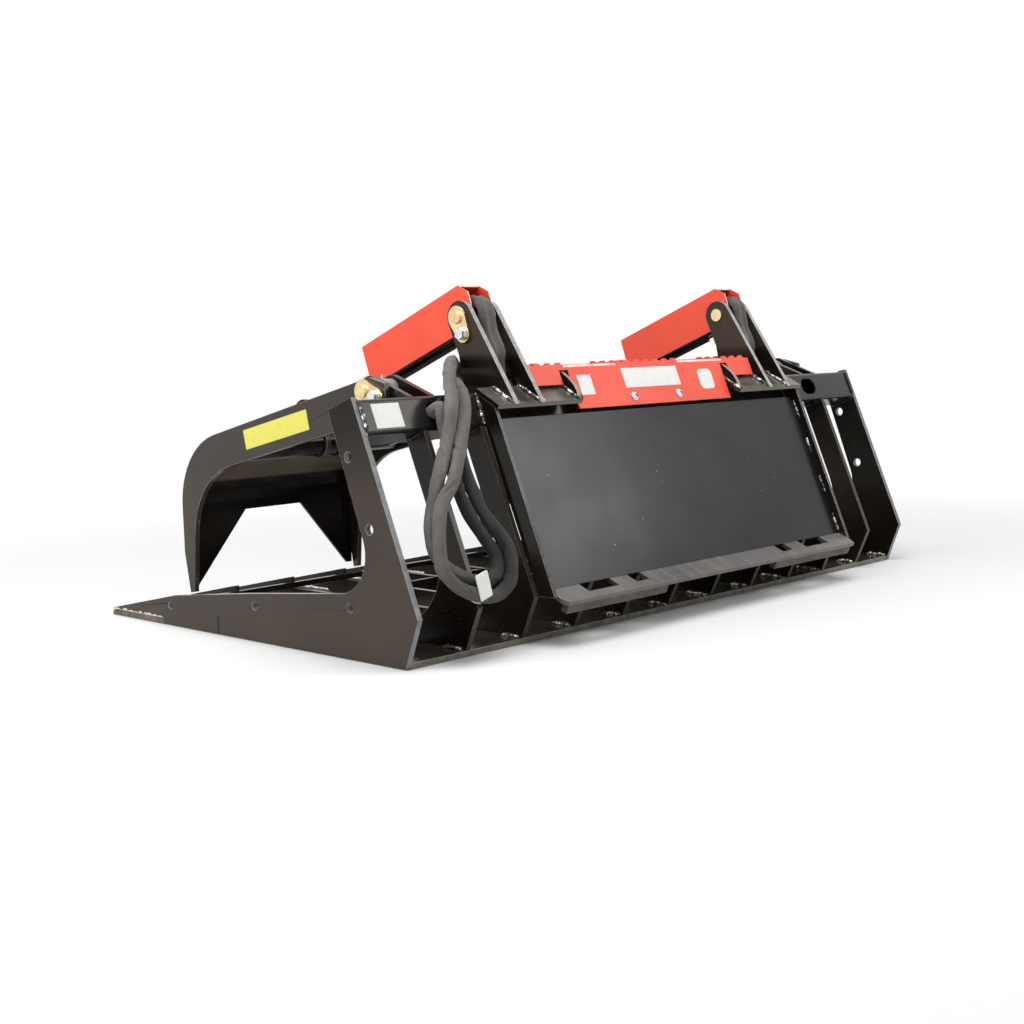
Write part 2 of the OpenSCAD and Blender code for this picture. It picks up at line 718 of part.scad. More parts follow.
// A tube swept along a route: rings of sides points, each square to the route
function swept_points(route, r, sides) =
    let (last = len(route) - 1)
    [for (i = [0 : last])
        let (a = route[max(i - 1, 0)], b = route[min(i + 1, last)], d = (b - a) / norm(b - a),
             w = abs(d[2]) > 0.9 ? [1, 0, 0] : [0, 0, 1], e = cross(d, w), p = e / norm(e), q = cross(d, p))
        each [for (k = [0 : sides - 1])
            route[i] + r * (cos(360 * k / sides) * p + sin(360 * k / sides) * q)]];

module swept(route, r, sides) {
    last = len(route) - 1;
    polyhedron(points = swept_points(route, r, sides), faces = concat(
        [[for (k = [0 : sides - 1]) k]],
        [for (i = [0 : last - 1], k = [0 : sides - 1]) let (n = (k + 1) % sides, a = i * sides)
            each [[a + k, a + sides + k, a + sides + n], [a + k, a + sides + n, a + n]]],
        [[for (k = [sides - 1 : -1 : 0]) last * sides + k]]));
}

module supply_hose_1() {
    supply_hose(hose_route_1, cyl_x - hose_side, tube_hole_x + hose_end_side);
}

module supply_hose_2() {
    supply_hose(hose_route_2, cyl_x + hose_side, tube_hole_x - hose_end_side);
}

// Couplers on the hoses' ends, parked in the tube's long hole
hose_end_d = -5;

module hose_couplers() {
    body_d = 25;
    body_len = 42;
    color(bright_zinc) for (side = [-1, 1]) leaning(top_s - tube_w / 2)
        translate([tube_hole_x + side * hose_end_side, hose_end_d - weld_gap, 0]) rotate([90, 0, 0]) {
            cylinder(d = body_d, h = body_len / 2);
            translate([0, 0, body_len / 2]) cylinder(d = body_d * 0.8, h = body_len / 2);
        }
}

// Blank tag strapped to the front of the hoses, at the bottom of their loop
tag_at = [767, 73, 154];
tag_tilt = 16;

module hose_tie() {
    tag_w = 34;
    tag_t = 2;
    tag_h = 55;
    color("white") translate(tag_at) rotate([0, tag_tilt, 0])
        translate([-tag_w / 2, 0, -tag_h / 2]) cube([tag_w, tag_t, tag_h]);
}

// Cylinder hoses: from under the guard, over the base eye and down between the ears to the block
module cylinder_hoses() {
    bend_r = 38.5;
    spacing = 25;
    drop = [[5, -30], [25, -74]];
    end_d = tee_rear_d - cyl_hose_d / 2;
    end_s = top_s + tee_h + 2 * weld_gap;
    for (side = [-1, 1]) color(sleeve_grey) swept([for (p = concat(
            [for (a = [86, 54, 22]) base_pin + bend_r * [cos(a), sin(a)]],
            [for (q = drop) base_pin + [bend_r, 0] + q],
            [rear(end_s + 1.6 * cyl_hose_d, end_d + cyl_hose_d / 3), rear(end_s + cyl_hose_d / 2, end_d),
             rear(end_s, end_d)]))
        [cyl_x + side * spacing / 2, p[0], p[1]]], cyl_hose_d / 2, 8);
}

module left_cylinder_hoses() { cylinder_hoses(); }
module right_cylinder_hoses() { mirror([1, 0, 0]) cylinder_hoses(); }

// Hook plates
hook_tip_in = [-897, 47];
hook_tip_out = [-913, 44];
hook_back = [-931, 140];
hook_outer_corner = [-934, 393];
hook_outer_r = 178;
hook_top = [-245, 561];
hook_inner_corner = [-874, 325];
hook_inner_r = 190;
hook_inner_low = [-886, 178];
hook_heel_r = 62;
hook_heel_a = 16;
hook_heel_end_a = 282;
pivot_flag_a = -16;
pivot_bolt = flag_bolt(pivot, pivot_flag_a);

function hook_heel(a) = pivot + hook_heel_r * [cos(a), sin(a)];

module hook_outline() {
    heel_steps = 8;
    heel_sweep = hook_heel_end_a - 360 - hook_heel_a;
    difference() {
        polygon(concat(outline([with_r(hook_tip_in, 0), with_r(hook_tip_out, 0), with_r(hook_back, 0),
                with_r(hook_outer_corner, hook_outer_r), with_r(hook_top, 0)]),
            [for (i = [0 : heel_steps]) hook_heel(hook_heel_a + heel_sweep * i / heel_steps)],
            corner(hook_heel(hook_heel_end_a), hook_inner_corner, hook_inner_low, hook_inner_r, 12)));
        translate(pivot) circle(pin_r + run_gap);
        translate(pivot_bolt) circle(flag_bolt_r + slide_gap);
    }
}

module outer_hook() {
    color(paint_black) slab(hook_out_x - hook_t, hook_t) hook_outline();
}

module inner_hook() {
    color(paint_black) slab(hook_in_x, hook_t) hook_outline();
}

module left_outer_hook() { outer_hook(); }
module right_outer_hook() { mirror([1, 0, 0]) outer_hook(); }
module left_inner_hook() { inner_hook(); }
module right_inner_hook() { mirror([1, 0, 0]) inner_hook(); }

// Skirt plate between the hook plates, bent along their front, with a wide cut-out
skirt_inset = 7;
skirt_low_z = 58;
skirt_end_y = 747;
rod_notch_front = 54;
window_low_half = 236;
window_top_half = 87;
window_top_z = 229;
arm_mid_x = (hook_out_x + hook_in_x) / 2;
arm_inner_w = hook_out_x - hook_in_x - 2 * hook_t - 2 * weld_gap;

function skirt_line(inset) =
    let (dir = (hook_top - hook_outer_corner) / norm(hook_top - hook_outer_corner),
         bend = hook_outer_corner + inset * [1, (dir[1] - 1) / dir[0]],
         end = bend + dir * (-skirt_end_y - bend[0]) / dir[0])
    concat([[bend[0], skirt_low_z]],
        corner([bend[0], skirt_low_z], bend, end, hook_outer_r - inset, 12), [end]);

module skirt() {
    reversed = skirt_line(skirt_inset + skirt_t);
    color(paint_black) difference() {
        slab(arm_mid_x - arm_inner_w / 2, arm_inner_w) polygon(concat(skirt_line(skirt_inset),
            [for (i = [len(reversed) - 1 : -1 : 0]) reversed[i]]));
        translate([arm_mid_x, hook_outer_corner[0] + 3 * skirt_t, 0]) rotate([90, 0, 0])
            linear_extrude(4 * skirt_t) polygon([[-window_low_half, skirt_low_z - over],
                [-window_top_half, window_top_z], [window_top_half, window_top_z],
                [window_low_half, skirt_low_z - over]]);
        // Notch for the rod lugs and the rod's eye
        translate([cyl_x - rod_notch_half, rod_pin_at[0] - rod_notch_front, arm_tube_at[1]])
            cube([2 * rod_notch_half, rod_notch_front + arm_tube_d, arm_tube_d * 2]);
    }
}

module left_skirt() { skirt(); }
module right_skirt() { mirror([1, 0, 0]) skirt(); }

// Cross tube of the arm, with the lugs for the rod
arm_tube_y = 740;
arm_tube_wall = 6;
rod_pin_at = cyl_pt(cyl_len, 0);
rod_pin_r = 12.7;
rod_eye_r = 37;
rod_eye_w = 38;
rod_eye_play = 14;
rod_lug_t = 12;
rod_lug_r = 39;
rod_lug_gap = 1;
rod_lug_off = rod_eye_w / 2 + rod_lug_gap + rod_lug_t / 2;
rod_notch_half = rod_lug_off + rod_lug_t / 2 + slide_gap;

// The tube's axis, where the tube just meets the skirt's underside
arm_tube_at = [-arm_tube_y, hook_top[1] + (hook_top[1] - hook_outer_corner[1])
    / (hook_top[0] - hook_outer_corner[0]) * (-arm_tube_y - hook_top[0])
    - (skirt_inset + skirt_t + weld_gap + arm_tube_d / 2)
    * norm(hook_top - hook_outer_corner) / (hook_top[0] - hook_outer_corner[0])];

module arm_tube() {
    color(paint_black) difference() {
        bar_x(arm_mid_x, arm_tube_at, arm_tube_d / 2, arm_inner_w);
        bar_x(arm_mid_x, arm_tube_at, arm_tube_d / 2 - arm_tube_wall, arm_inner_w + over);
    }
}

module left_arm_tube() { arm_tube(); }
module right_arm_tube() { mirror([1, 0, 0]) arm_tube(); }

// The four points where two circles' outer tangents touch them
function belt(p, rp, q, rq) =
    let (v = q - p, a = acos((rp - rq) / norm(v)), b = atan2(v[1], v[0]))
    [p + rp * [cos(b + a), sin(b + a)], q + rq * [cos(b + a), sin(b + a)],
     q + rq * [cos(b - a), sin(b - a)], p + rp * [cos(b - a), sin(b - a)]];

module rod_lug_outline() {
    ring_r = arm_tube_d / 2 + rod_lug_t / 2;
    difference() {
        union() {
            translate(rod_pin_at) circle(rod_lug_r);
            translate(arm_tube_at) circle(ring_r);
            polygon(belt(rod_pin_at, rod_lug_r, arm_tube_at, ring_r));
        }
        translate(rod_pin_at) circle(rod_pin_r + run_gap);
        translate(arm_tube_at) circle(arm_tube_d / 2 + weld_gap);
    }
}

module rod_lugs() {
    color(paint_black) for (side = [-1, 1])
        slab(cyl_x + side * rod_lug_off - rod_lug_t / 2, rod_lug_t) rod_lug_outline();
}

module left_rod_lugs() { rod_lugs(); }
module right_rod_lugs() { mirror([1, 0, 0]) rod_lugs(); }

module rod_pin() {
    cap_r = 18;
    cap_t = 4;
    grip = rod_lug_off + rod_lug_t / 2 + slide_gap;
    color(yellow_zinc) {
        bar_x(cyl_x, rod_pin_at, rod_pin_r, 2 * grip + cap_t);
        for (side = [-1, 1]) bar_x(cyl_x + side * (grip + cap_t / 2), rod_pin_at, cap_r, cap_t);
    }
}

module left_rod_pin() { rod_pin(); }
module right_rod_pin() { mirror([1, 0, 0]) rod_pin(); }

// Straps: a boss with a grease fitting between each pair of lugs, and a plate from it to the cross tube
strap_t = 12.7;
boss_r = 25;
fitting_r = 4;
fitting_h = 9;

module strap(x) {
    color(paint_black) {
        slab(x - strap_t / 2, strap_t) difference() {
            polygon(belt(pivot, boss_r, arm_tube_at, arm_tube_d / 2 - fitting_r));
            translate(pivot) circle(pin_r + run_gap);
            translate(arm_tube_at) circle(arm_tube_d / 2 + weld_gap);
        }
        difference() {
            bar_x(x, pivot, boss_r, boss_len);
            bar_x(x, pivot, pin_r + run_gap, boss_len + over);
        }
        translate([x, pivot[0], pivot[1] + boss_r - fitting_r / 4]) cylinder(r = fitting_r, h = fitting_h);
    }
}

module pivot_straps() {
    strap(outer_boss_x);
    strap(inner_boss_x);
}

module left_pivot_straps() { pivot_straps(); }
module right_pivot_straps() { mirror([1, 0, 0]) pivot_straps(); }

module pivot_pins() {
    stub = 5;
    flag_pin(outer_lug_x - boss_len - hook_gap - lug_t - stub, hook_out_x + slide_gap, pivot, pivot_flag_a);
    translate([2 * arm_mid_x, 0, 0]) mirror([1, 0, 0])
        flag_pin(outer_lug_x - boss_len - hook_gap - lug_t - stub, hook_out_x + slide_gap, pivot,
            pivot_flag_a);
}

module left_pivot_pins() { pivot_pins(); }
module right_pivot_pins() { mirror([1, 0, 0]) pivot_pins(); }

module pivot_bolts() {
    shank = hook_t + slide_gap + flag_t + weld_gap;
    flag_bolt_x(hook_out_x - hook_t, hook_out_x - hook_t + shank, pivot_bolt);
    translate([2 * arm_mid_x, 0, 0]) mirror([1, 0, 0])
        flag_bolt_x(hook_out_x - hook_t, hook_out_x - hook_t + shank, pivot_bolt);
}

module left_pivot_bolts() { pivot_bolts(); }
module right_pivot_bolts() { mirror([1, 0, 0]) pivot_bolts(); }

// Cylinder: children stand along its axis, from the base pin towards the rod
module on_axis(a) {
    p = cyl_pt(a, 0);
    translate([cyl_x, p[0], p[1]]) rotate([90 + cyl_slope, 0, 0]) children();
}

barrel_start = 22;
barrel_end = 322;
barrel_wall = 6;
eye_r = 25;
eye_w = 58;
port_at = 88;
port_r = 12;
port_h = 10;
oil_tube_r = 6.3;
gland_len = 40;
piston_at = 248;
piston_len = 32;
eye_neck = 34;

module barrel() {
    tube_p = -barrel_d / 2 - oil_tube_r - weld_gap;
    color(paint_black) {
        difference() {
            union() {
                bar_x(cyl_x, base_pin, eye_r, eye_w);
                on_axis(barrel_start) cylinder(d = barrel_d, h = barrel_end - barrel_start);
            }
            bar_x(cyl_x, base_pin, pin_r + run_gap, eye_w + over);
            on_axis(barrel_start + eye_neck) cylinder(d = barrel_d - 2 * barrel_wall, h = barrel_end);
        }
        for (side = [-1, 1]) {
            p = cyl_pt(port_at, barrel_d / 2 - barrel_wall / 2);
            translate([cyl_x + side * port_r * 1.05, p[0], p[1]]) rotate([cyl_slope, 0, 0])
                cylinder(r = port_r, h = port_h + barrel_wall / 2);
        }
        for (end = [port_at, barrel_end - 2 * port_r]) {
            p = cyl_pt(end, tube_p);
            translate([cyl_x, p[0], p[1]]) rotate([cyl_slope, 0, 0])
                cylinder(r = oil_tube_r, h = barrel_wall + oil_tube_r);
        }
        p = cyl_pt(port_at - oil_tube_r, tube_p);
        translate([cyl_x, p[0], p[1]]) rotate([90 + cyl_slope, 0, 0])
            cylinder(r = oil_tube_r, h = barrel_end - 2 * port_r - port_at + 2 * oil_tube_r);
    }
}

module left_barrel() { barrel(); }
module right_barrel() { mirror([1, 0, 0]) barrel(); }

// The gland closes the barrel's front end round the rod
module gland() {
    nut_len = 12;
    color(chrome_grey) difference() {
        union() {
            on_axis(barrel_end - gland_len)
                cylinder(d = barrel_d - 2 * barrel_wall - 2 * run_gap, h = gland_len + over);
            on_axis(barrel_end + weld_gap) cylinder(d = barrel_d + 2 * slide_gap, h = nut_len);
        }
        on_axis(barrel_end - gland_len - over)
            cylinder(d = rod_d + 2 * run_gap, h = gland_len + nut_len + 2 * over);
    }
}

module left_gland() { gland(); }
module right_gland() { mirror([1, 0, 0]) gland(); }

module piston() {
    color(chrome_grey) difference() {
        on_axis(piston_at) cylinder(d = barrel_d - 2 * barrel_wall - 2 * run_gap, h = piston_len);
        on_axis(piston_at - over) cylinder(d = rod_d * 0.7 + 2 * weld_gap, h = piston_len + 2 * over);
    }
}

module left_piston() { piston(); }
module right_piston() { mirror([1, 0, 0]) piston(); }

// Rod with its eye; the eye has play round the rod pin
module rod() {
    nut_len = 14;
    color(chrome_grey) {
        on_axis(piston_at - nut_len) cylinder(d = rod_d * 0.7, h = piston_len + nut_len + over);
        difference() {
            union() {
                on_axis(piston_at + piston_len + weld_gap)
                    cylinder(d = rod_d, h = cyl_len - rod_eye_r - piston_at - piston_len + over);
                bar_x(cyl_x, rod_pin_at, rod_eye_r, rod_eye_w);
            }
            bar_x(cyl_x, rod_pin_at, rod_pin_r + rod_eye_play, rod_eye_w + over);
        }
    }
}

module left_rod() { rod(); }
module right_rod() { mirror([1, 0, 0]) rod(); }

// Guard: a folded channel over the barrel, open below and at both ends
guard_t = 3;
guard_gap = 0.9;
guard_half_w = ear_gap / 2 - guard_gap;
guard_top_p = 68;
guard_low_p = -27;
guard_front_a = 336;
guard_top_rear = [-243, 752];
guard_rear_mid = [-212, 739];
guard_rear_low = [-203, 715];
guard_chin = 38;
guard_nose = 4;
guard_pin_r = 33;

module guard_side() {
    top_front = cyl_pt(guard_front_a, guard_top_p);
    low_front = cyl_pt(guard_front_a + guard_nose, guard_low_p + guard_chin / 2);
    chin = cyl_pt(guard_front_a - guard_chin, guard_low_p);
    heel = cyl_pt(0, guard_low_p);
    difference() {
        union() {
            polygon([top_front, low_front, chin, heel, base_pin + [guard_pin_r * 0.8, -guard_pin_r * 0.6],
                guard_rear_low, guard_rear_mid, guard_top_rear]);
            translate(base_pin) circle(guard_pin_r);
        }
        translate(base_pin) circle(pin_r + slide_gap);
    }
}

module guard() {
    top_front = cyl_pt(guard_front_a, guard_top_p);
    fall = [sin(cyl_slope), -cos(cyl_slope)];
    color(paint_red) {
        for (side = [-1, 1])
            slab(cyl_x + side * (guard_half_w - guard_t / 2) - guard_t / 2, guard_t) guard_side();
        slab(cyl_x - guard_half_w, 2 * guard_half_w)
            polygon([top_front, guard_top_rear, guard_top_rear + guard_t * fall,
                top_front + guard_t * fall]);
    }
}

module left_guard() { guard(); }
module right_guard() { mirror([1, 0, 0]) guard(); }

left_side_plate();
right_side_plate();
tines_1();
tines_2();
tines_3();
tines_4();
tines_5();
tip_wear_bars();
top_tube();
rear_cross_plate();
front_cross_bars();
coupler_plate();
coupler_lips();
lip_gussets();
coupler_ledge();
ledge_bars();
coupler_flanges();
left_ears();
right_ears();
left_hinge_lugs();
right_hinge_lugs();
step_cover();
step_bolts();
base_pins();
base_pin_bolts();
hose_tee_blocks();
supply_hose_1();
supply_hose_2();
hose_couplers();
hose_tie();
left_cylinder_hoses();
right_cylinder_hoses();
left_outer_hook();
left_inner_hook();
left_skirt();
left_arm_tube();
left_rod_lugs();
left_pivot_straps();
left_pivot_pins();
left_pivot_bolts();
left_rod_pin();
right_outer_hook();
right_inner_hook();
right_skirt();
right_arm_tube();
right_rod_lugs();
right_pivot_straps();
right_pivot_pins();
right_pivot_bolts();
right_rod_pin();
left_barrel();
left_gland();
left_guard();
left_rod();
left_piston();
right_barrel();
right_gland();
right_guard();
right_rod();
right_piston();
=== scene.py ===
# %% [markdown]
# # A brush grapple, dressed and lit
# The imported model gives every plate, pin and cylinder of the grapple at its real size, in metres,
# with +X across the grapple, +Y to the rear and +Z up. This lesson adds what a plain solid lacks:
# paint, plating, weld beads, woven hose sleeves, blank stickers, and a studio to see them in.

# %% Load the frame and measure it
import math

import bpy
import numpy as np
from mathutils import Matrix, Vector


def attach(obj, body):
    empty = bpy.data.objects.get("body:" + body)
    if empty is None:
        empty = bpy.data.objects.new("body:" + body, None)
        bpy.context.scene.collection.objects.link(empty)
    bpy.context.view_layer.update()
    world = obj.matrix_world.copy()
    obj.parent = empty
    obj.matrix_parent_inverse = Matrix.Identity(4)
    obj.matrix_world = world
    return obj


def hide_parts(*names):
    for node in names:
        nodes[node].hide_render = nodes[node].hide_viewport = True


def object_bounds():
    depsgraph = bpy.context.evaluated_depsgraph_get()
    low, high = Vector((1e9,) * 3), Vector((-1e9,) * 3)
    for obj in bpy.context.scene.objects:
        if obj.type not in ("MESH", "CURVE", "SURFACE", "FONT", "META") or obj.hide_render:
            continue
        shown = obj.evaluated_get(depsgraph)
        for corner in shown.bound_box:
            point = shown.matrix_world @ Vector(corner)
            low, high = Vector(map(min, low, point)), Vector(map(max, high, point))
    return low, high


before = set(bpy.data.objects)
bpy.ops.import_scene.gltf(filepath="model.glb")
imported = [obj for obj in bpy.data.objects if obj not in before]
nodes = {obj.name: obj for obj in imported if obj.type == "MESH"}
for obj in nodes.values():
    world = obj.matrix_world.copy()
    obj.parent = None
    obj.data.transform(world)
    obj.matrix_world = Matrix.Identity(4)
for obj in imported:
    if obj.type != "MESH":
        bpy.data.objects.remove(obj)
cad_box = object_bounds()
print("CAD box", cad_box, "nodes", len(nodes))

# %% [markdown]
# ## Camera
# The photograph looks at the rear corner of the grapple from a little above the top tube. A camera
# could be aimed at a target by eye. A place, a heading, a dip below level and a slight roll are used
# here, because they can be fitted to the photograph. The lens is about 54 mm on a 36 mm sensor.

# %% Camera
CAMERA_PLACE = np.array([2.909, 2.187, 0.638])
HEADING, DIP, ROLL = np.radians([133.51, -6.44, -1.24])
SENSOR = 36.0
FOCAL_PIXELS = 1550.0
PHOTO_PIXELS = 1024.0
FAR_CLIP = 60.0


def camera_matrix(place, heading, dip, roll):
    """Level forward, right and up vectors are tipped by the dip, then turned by the roll; Blender's
    camera looks along its own -Z."""
    level = np.array([-math.sin(heading), math.cos(heading), 0.0])
    side = np.array([math.cos(heading), math.sin(heading), 0.0])
    sky = np.array([0.0, 0.0, 1.0])
    forward = level * math.cos(dip) + sky * math.sin(dip)
    up = sky * math.cos(dip) - level * math.sin(dip)
    right = side * math.cos(roll) + up * math.sin(roll)
    top = up * math.cos(roll) - side * math.sin(roll)
    matrix = np.eye(4)
    matrix[:3, 0] = right
    matrix[:3, 1] = top
    matrix[:3, 2] = -forward
    matrix[:3, 3] = place
    return matrix


def make_camera():
    """The camera object, with its lens from the focal length in pixels."""
    data = bpy.data.cameras.new("camera")
    data.sensor_width = SENSOR
    data.lens = SENSOR * FOCAL_PIXELS / PHOTO_PIXELS
    data.clip_end = FAR_CLIP
    camera = bpy.data.objects.new("camera", data)
    bpy.context.scene.collection.objects.link(camera)
    camera.matrix_world = Matrix(camera_matrix(CAMERA_PLACE, HEADING, DIP, ROLL).tolist())
    bpy.context.scene.camera = camera


make_camera()
print("camera at", CAMERA_PLACE)

# %% [markdown]
# ## Surfaces from arrays
# A new piece here is a grid of points worked out with numpy. The grid's rows are rings along a path,
# or circles of a disc, and one helper turns any grid into a closed mesh. That keeps each shape a
# short formula, and keeps Python loops away from the vertices.

# %% Grid helper
MM = 0.001


def grid_mesh(name, points, closed_ring=True, caps=True):
    """A mesh from an array of rings x places x 3. Each quad joins a place to the next place and the
    next ring; caps close the first and the last ring with one point each."""
    rings, places, _ = points.shape
    verts = points.reshape(-1, 3)
    steps = places if closed_ring else places - 1
    i, j = np.meshgrid(np.arange(rings - 1), np.arange(steps), indexing="ij")
    k = (j + 1) % places
    faces = np.stack([i * places + j, i * places + k, (i + 1) * places + k, (i + 1) * places + j], -1)
    faces = faces.reshape(-1, 4).tolist()
    if caps:
        start, end = len(verts), len(verts) + 1
        verts = np.vstack([verts, points[0].mean(0), points[-1].mean(0)])
        ring = np.arange(places)
        after = (ring + 1) % places
        last = (rings - 1) * places
        faces += np.stack([after, ring, np.full(places, start)], -1).tolist()
        faces += np.stack([last + ring, last + after, np.full(places, end)], -1).tolist()
    mesh = bpy.data.meshes.new(name)
    mesh.from_pydata(verts.tolist(), [], faces)
    mesh.update()
    return mesh


def add_piece(name, mesh, body, material, smooth=True):
    """Links a finished mesh as a piece that rides on a body and takes its finish from a slot."""
    piece = bpy.data.objects.new(name, mesh)
    bpy.context.scene.collection.objects.link(piece)
    piece.data.materials.append(material)
    mesh.polygons.foreach_set("use_smooth", np.full(len(mesh.polygons), smooth))
    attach(piece, body)
    return piece


print("grid helpers ready")

# %% Path helpers
SPAN_POINTS = 8


def smooth_path(knots):
    """A curve through the knots: between two of them it is the cubic whose slope at each is half the
    step from the knot before to the knot after."""
    knots = np.asarray(knots, float)
    p = np.vstack([2 * knots[0] - knots[1], knots, 2 * knots[-1] - knots[-2]])
    t = np.linspace(0, 1, SPAN_POINTS, endpoint=False)[:, None]
    a, b, c, d = p[:-3, None], p[1:-2, None], p[2:-1, None], p[3:, None]
    bend = (2 * a - 5 * b + 4 * c - d) * t ** 2
    twist = (3 * b - a - 3 * c + d) * t ** 3
    spans = 0.5 * (2 * b + (c - a) * t + bend + twist)
    return np.vstack([spans.reshape(-1, 3), knots[-1]])


def resample(path, step):
    """The same line with a point every step along it, and how far along it each point is."""
    lengths = np.linalg.norm(np.diff(path, axis=0), axis=1)
    at = np.concatenate([[0.0], np.cumsum(lengths)])
    count = max(3, int(round(at[-1] / step)) + 1)
    want = np.linspace(0, at[-1], count)
    return np.stack([np.interp(want, at, path[:, k]) for k in range(3)], -1), want


def tangents(path):
    """The path's direction at each of its points: the step between its neighbours, one unit long."""
    steps = np.gradient(path, axis=0)
    return steps / np.linalg.norm(steps, axis=1)[:, None]


def path_frames(path):
    """Two square directions at each station. The first is carried on from station to station, less
    its part along the path, so that it never twists, and the second is square to both."""
    along = tangents(path)
    side = np.cross(along[0], [1.0, 0.0, 0.0])
    starts_along_x = np.linalg.norm(side) < 0.2
    if starts_along_x:
        side = np.cross(along[0], [0.0, 0.0, 1.0])
    sides = []
    for t in along:
        side = side - t * side.dot(t)
        side = side / np.linalg.norm(side)
        sides.append(side)
    return np.array(sides), np.cross(along, sides)


print("path helpers ready")

# %% Tube helpers


def tube_points(path, radius, sides):
    """Rings round a path: path + radius * (cos(angle) * across + sin(angle) * over). The radius may be
    one number, one for each ring, or one for each ring and angle."""
    across, over = path_frames(path)
    angle = np.linspace(0, 2 * np.pi, sides, endpoint=False)
    radius = np.asarray(radius, float)
    radius = radius if radius.ndim == 2 else radius.reshape(-1, 1)
    radius = np.broadcast_to(radius, (len(path), sides))
    c = (np.cos(angle) * radius)[..., None] * across[:, None]
    s = (np.sin(angle) * radius)[..., None] * over[:, None]
    return path[:, None] + c + s


def tube_uv(mesh, rings, sides, along, around):
    """A UV map with u round the tube and v along it, both in metres, so a weave keeps its scale: u =
    place / sides * around, where a ring's last quad ends at the full turn, and v = along."""
    layer = mesh.uv_layers.new(name="weave")
    loops = np.empty(len(mesh.loops), int)
    mesh.loops.foreach_get("vertex_index", loops)
    v = np.where(loops < rings * sides, loops // sides, np.where(loops == rings * sides, 0, rings - 1))
    u = np.where(loops < rings * sides, loops % sides, 0)
    corner = np.arange(len(loops)) % 4
    quads = (rings - 1) * sides * 4
    wrap = (np.arange(len(loops)) < quads) & (u == 0) & ((corner == 1) | (corner == 2))
    u = np.where(wrap, sides, u)
    uv = np.stack([u / sides * around, np.asarray(along)[v]], -1)
    layer.data.foreach_set("uv", uv.ravel())


print("helpers ready")

# %% [markdown]
# ## Materials
# Every finish is a small node graph: noise in Object coordinates, so that a pattern stays on the
# piece when it moves, feeds colour, roughness and a fine bump. A painted picture could do it too, but
# noise has no seams and works at any size. Short helpers add a node and link its inputs in one line,
# which keeps each graph readable.

# %% Node helpers


def new_material(name):
    """An empty node material with its shader, as (material, tree, shader)."""
    material = bpy.data.materials.new(name)
    material.use_nodes = True
    tree = material.node_tree
    shader = tree.nodes["Principled BSDF"]
    return material, tree, shader


def fill(tree, node, sockets):
    """Links each named input of a node to the socket given for it, or fills in the value."""
    for key, value in sockets.items():
        socket = node.inputs[key]
        if isinstance(value, bpy.types.NodeSocket):
            tree.links.new(value, socket)
        else:
            socket.default_value = value


def add(tree, kind, sockets=None, **props):
    """A node of that kind, with its properties set and its inputs linked or filled."""
    node = tree.nodes.new(kind)
    for key, value in props.items():
        setattr(node, key, value)
    fill(tree, node, sockets or {})
    return node


def noise(tree, scale, detail=4.0, roughness=0.55, stretch=None):
    """Noise from 0 to 1 in Object coordinates, drawn out by a Mapping node if asked."""
    vector = add(tree, "ShaderNodeTexCoord").outputs["Object"]
    if stretch:
        drawn_out = {"Vector": vector, "Scale": stretch}
        vector = add(tree, "ShaderNodeMapping", drawn_out).outputs["Vector"]
    sockets = {"Vector": vector, "Scale": scale, "Detail": detail, "Roughness": roughness}
    return add(tree, "ShaderNodeTexNoise", sockets).outputs["Fac"]


def ramp(tree, value, stops):
    """A colour ramp through (place, grey or colour) stops."""
    node = add(tree, "ShaderNodeValToRGB", {"Fac": value})
    elements = node.color_ramp.elements
    for k, (place, colour) in enumerate(stops):
        rgb = (colour,) * 3 if isinstance(colour, (int, float)) else colour
        element = elements[k] if k < 2 else elements.new(place)
        element.position = place
        element.color = (*rgb, 1)
    return node.outputs["Color"]


def mix(tree, fac, a, b):
    """Colour a where the factor is 0 and colour b where it is 1."""
    node = add(tree, "ShaderNodeMix", data_type="RGBA")
    for key, value in (("Factor", fac), ("A", a), ("B", b)):
        socket = [s for s in node.inputs if s.name == key and (key == "Factor" or s.type == "RGBA")][0]
        if isinstance(value, bpy.types.NodeSocket):
            tree.links.new(value, socket)
        else:
            socket.default_value = value if key == "Factor" else (*value, 1)
    return [s for s in node.outputs if s.type == "RGBA"][0]


def maths(tree, operation, a, b=0.0, clamp=False):
    """One Math node on two values."""
    node = add(tree, "ShaderNodeMath", {0: a, 1: b}, operation=operation, use_clamp=clamp)
    return node.outputs[0]


def bump(tree, shader, height, strength, distance):
    """A bump on the shader's normal."""
    node = add(tree, "ShaderNodeBump", {"Height": height, "Strength": strength, "Distance": distance})
    tree.links.new(node.outputs["Normal"], shader.inputs["Normal"])


def along_axis(tree, output, axis):
    """The part along one axis of the Object position or of the Normal."""
    vector = add(tree, "ShaderNodeTexCoord").outputs[output]
    return add(tree, "ShaderNodeSeparateXYZ", {"Vector": vector}).outputs[axis]


def rising(tree, value, low, high, top=1.0):
    """0 where the value is at low, rising evenly to top where it is at high. High may be below low."""
    sockets = {"Value": value, "From Min": low, "From Max": high, "To Max": top}
    return add(tree, "ShaderNodeMapRange", sockets).outputs["Result"]


def product(tree, first, *others):
    """All the values multiplied together."""
    for other in others:
        first = maths(tree, "MULTIPLY", first, other)
    return first


def flat_part(tree, axis, low, high):
    """Rises from 0 to 1 as the size of the normal's part along the axis goes from low to high, so it
    is 1 where the surface faces along that axis either way."""
    return rising(tree, maths(tree, "ABSOLUTE", along_axis(tree, "Normal", axis)), low, high)


def scaled(colour, factor):
    """A colour with each part times the factor."""
    return tuple(part * factor for part in colour)


print("node helpers ready")

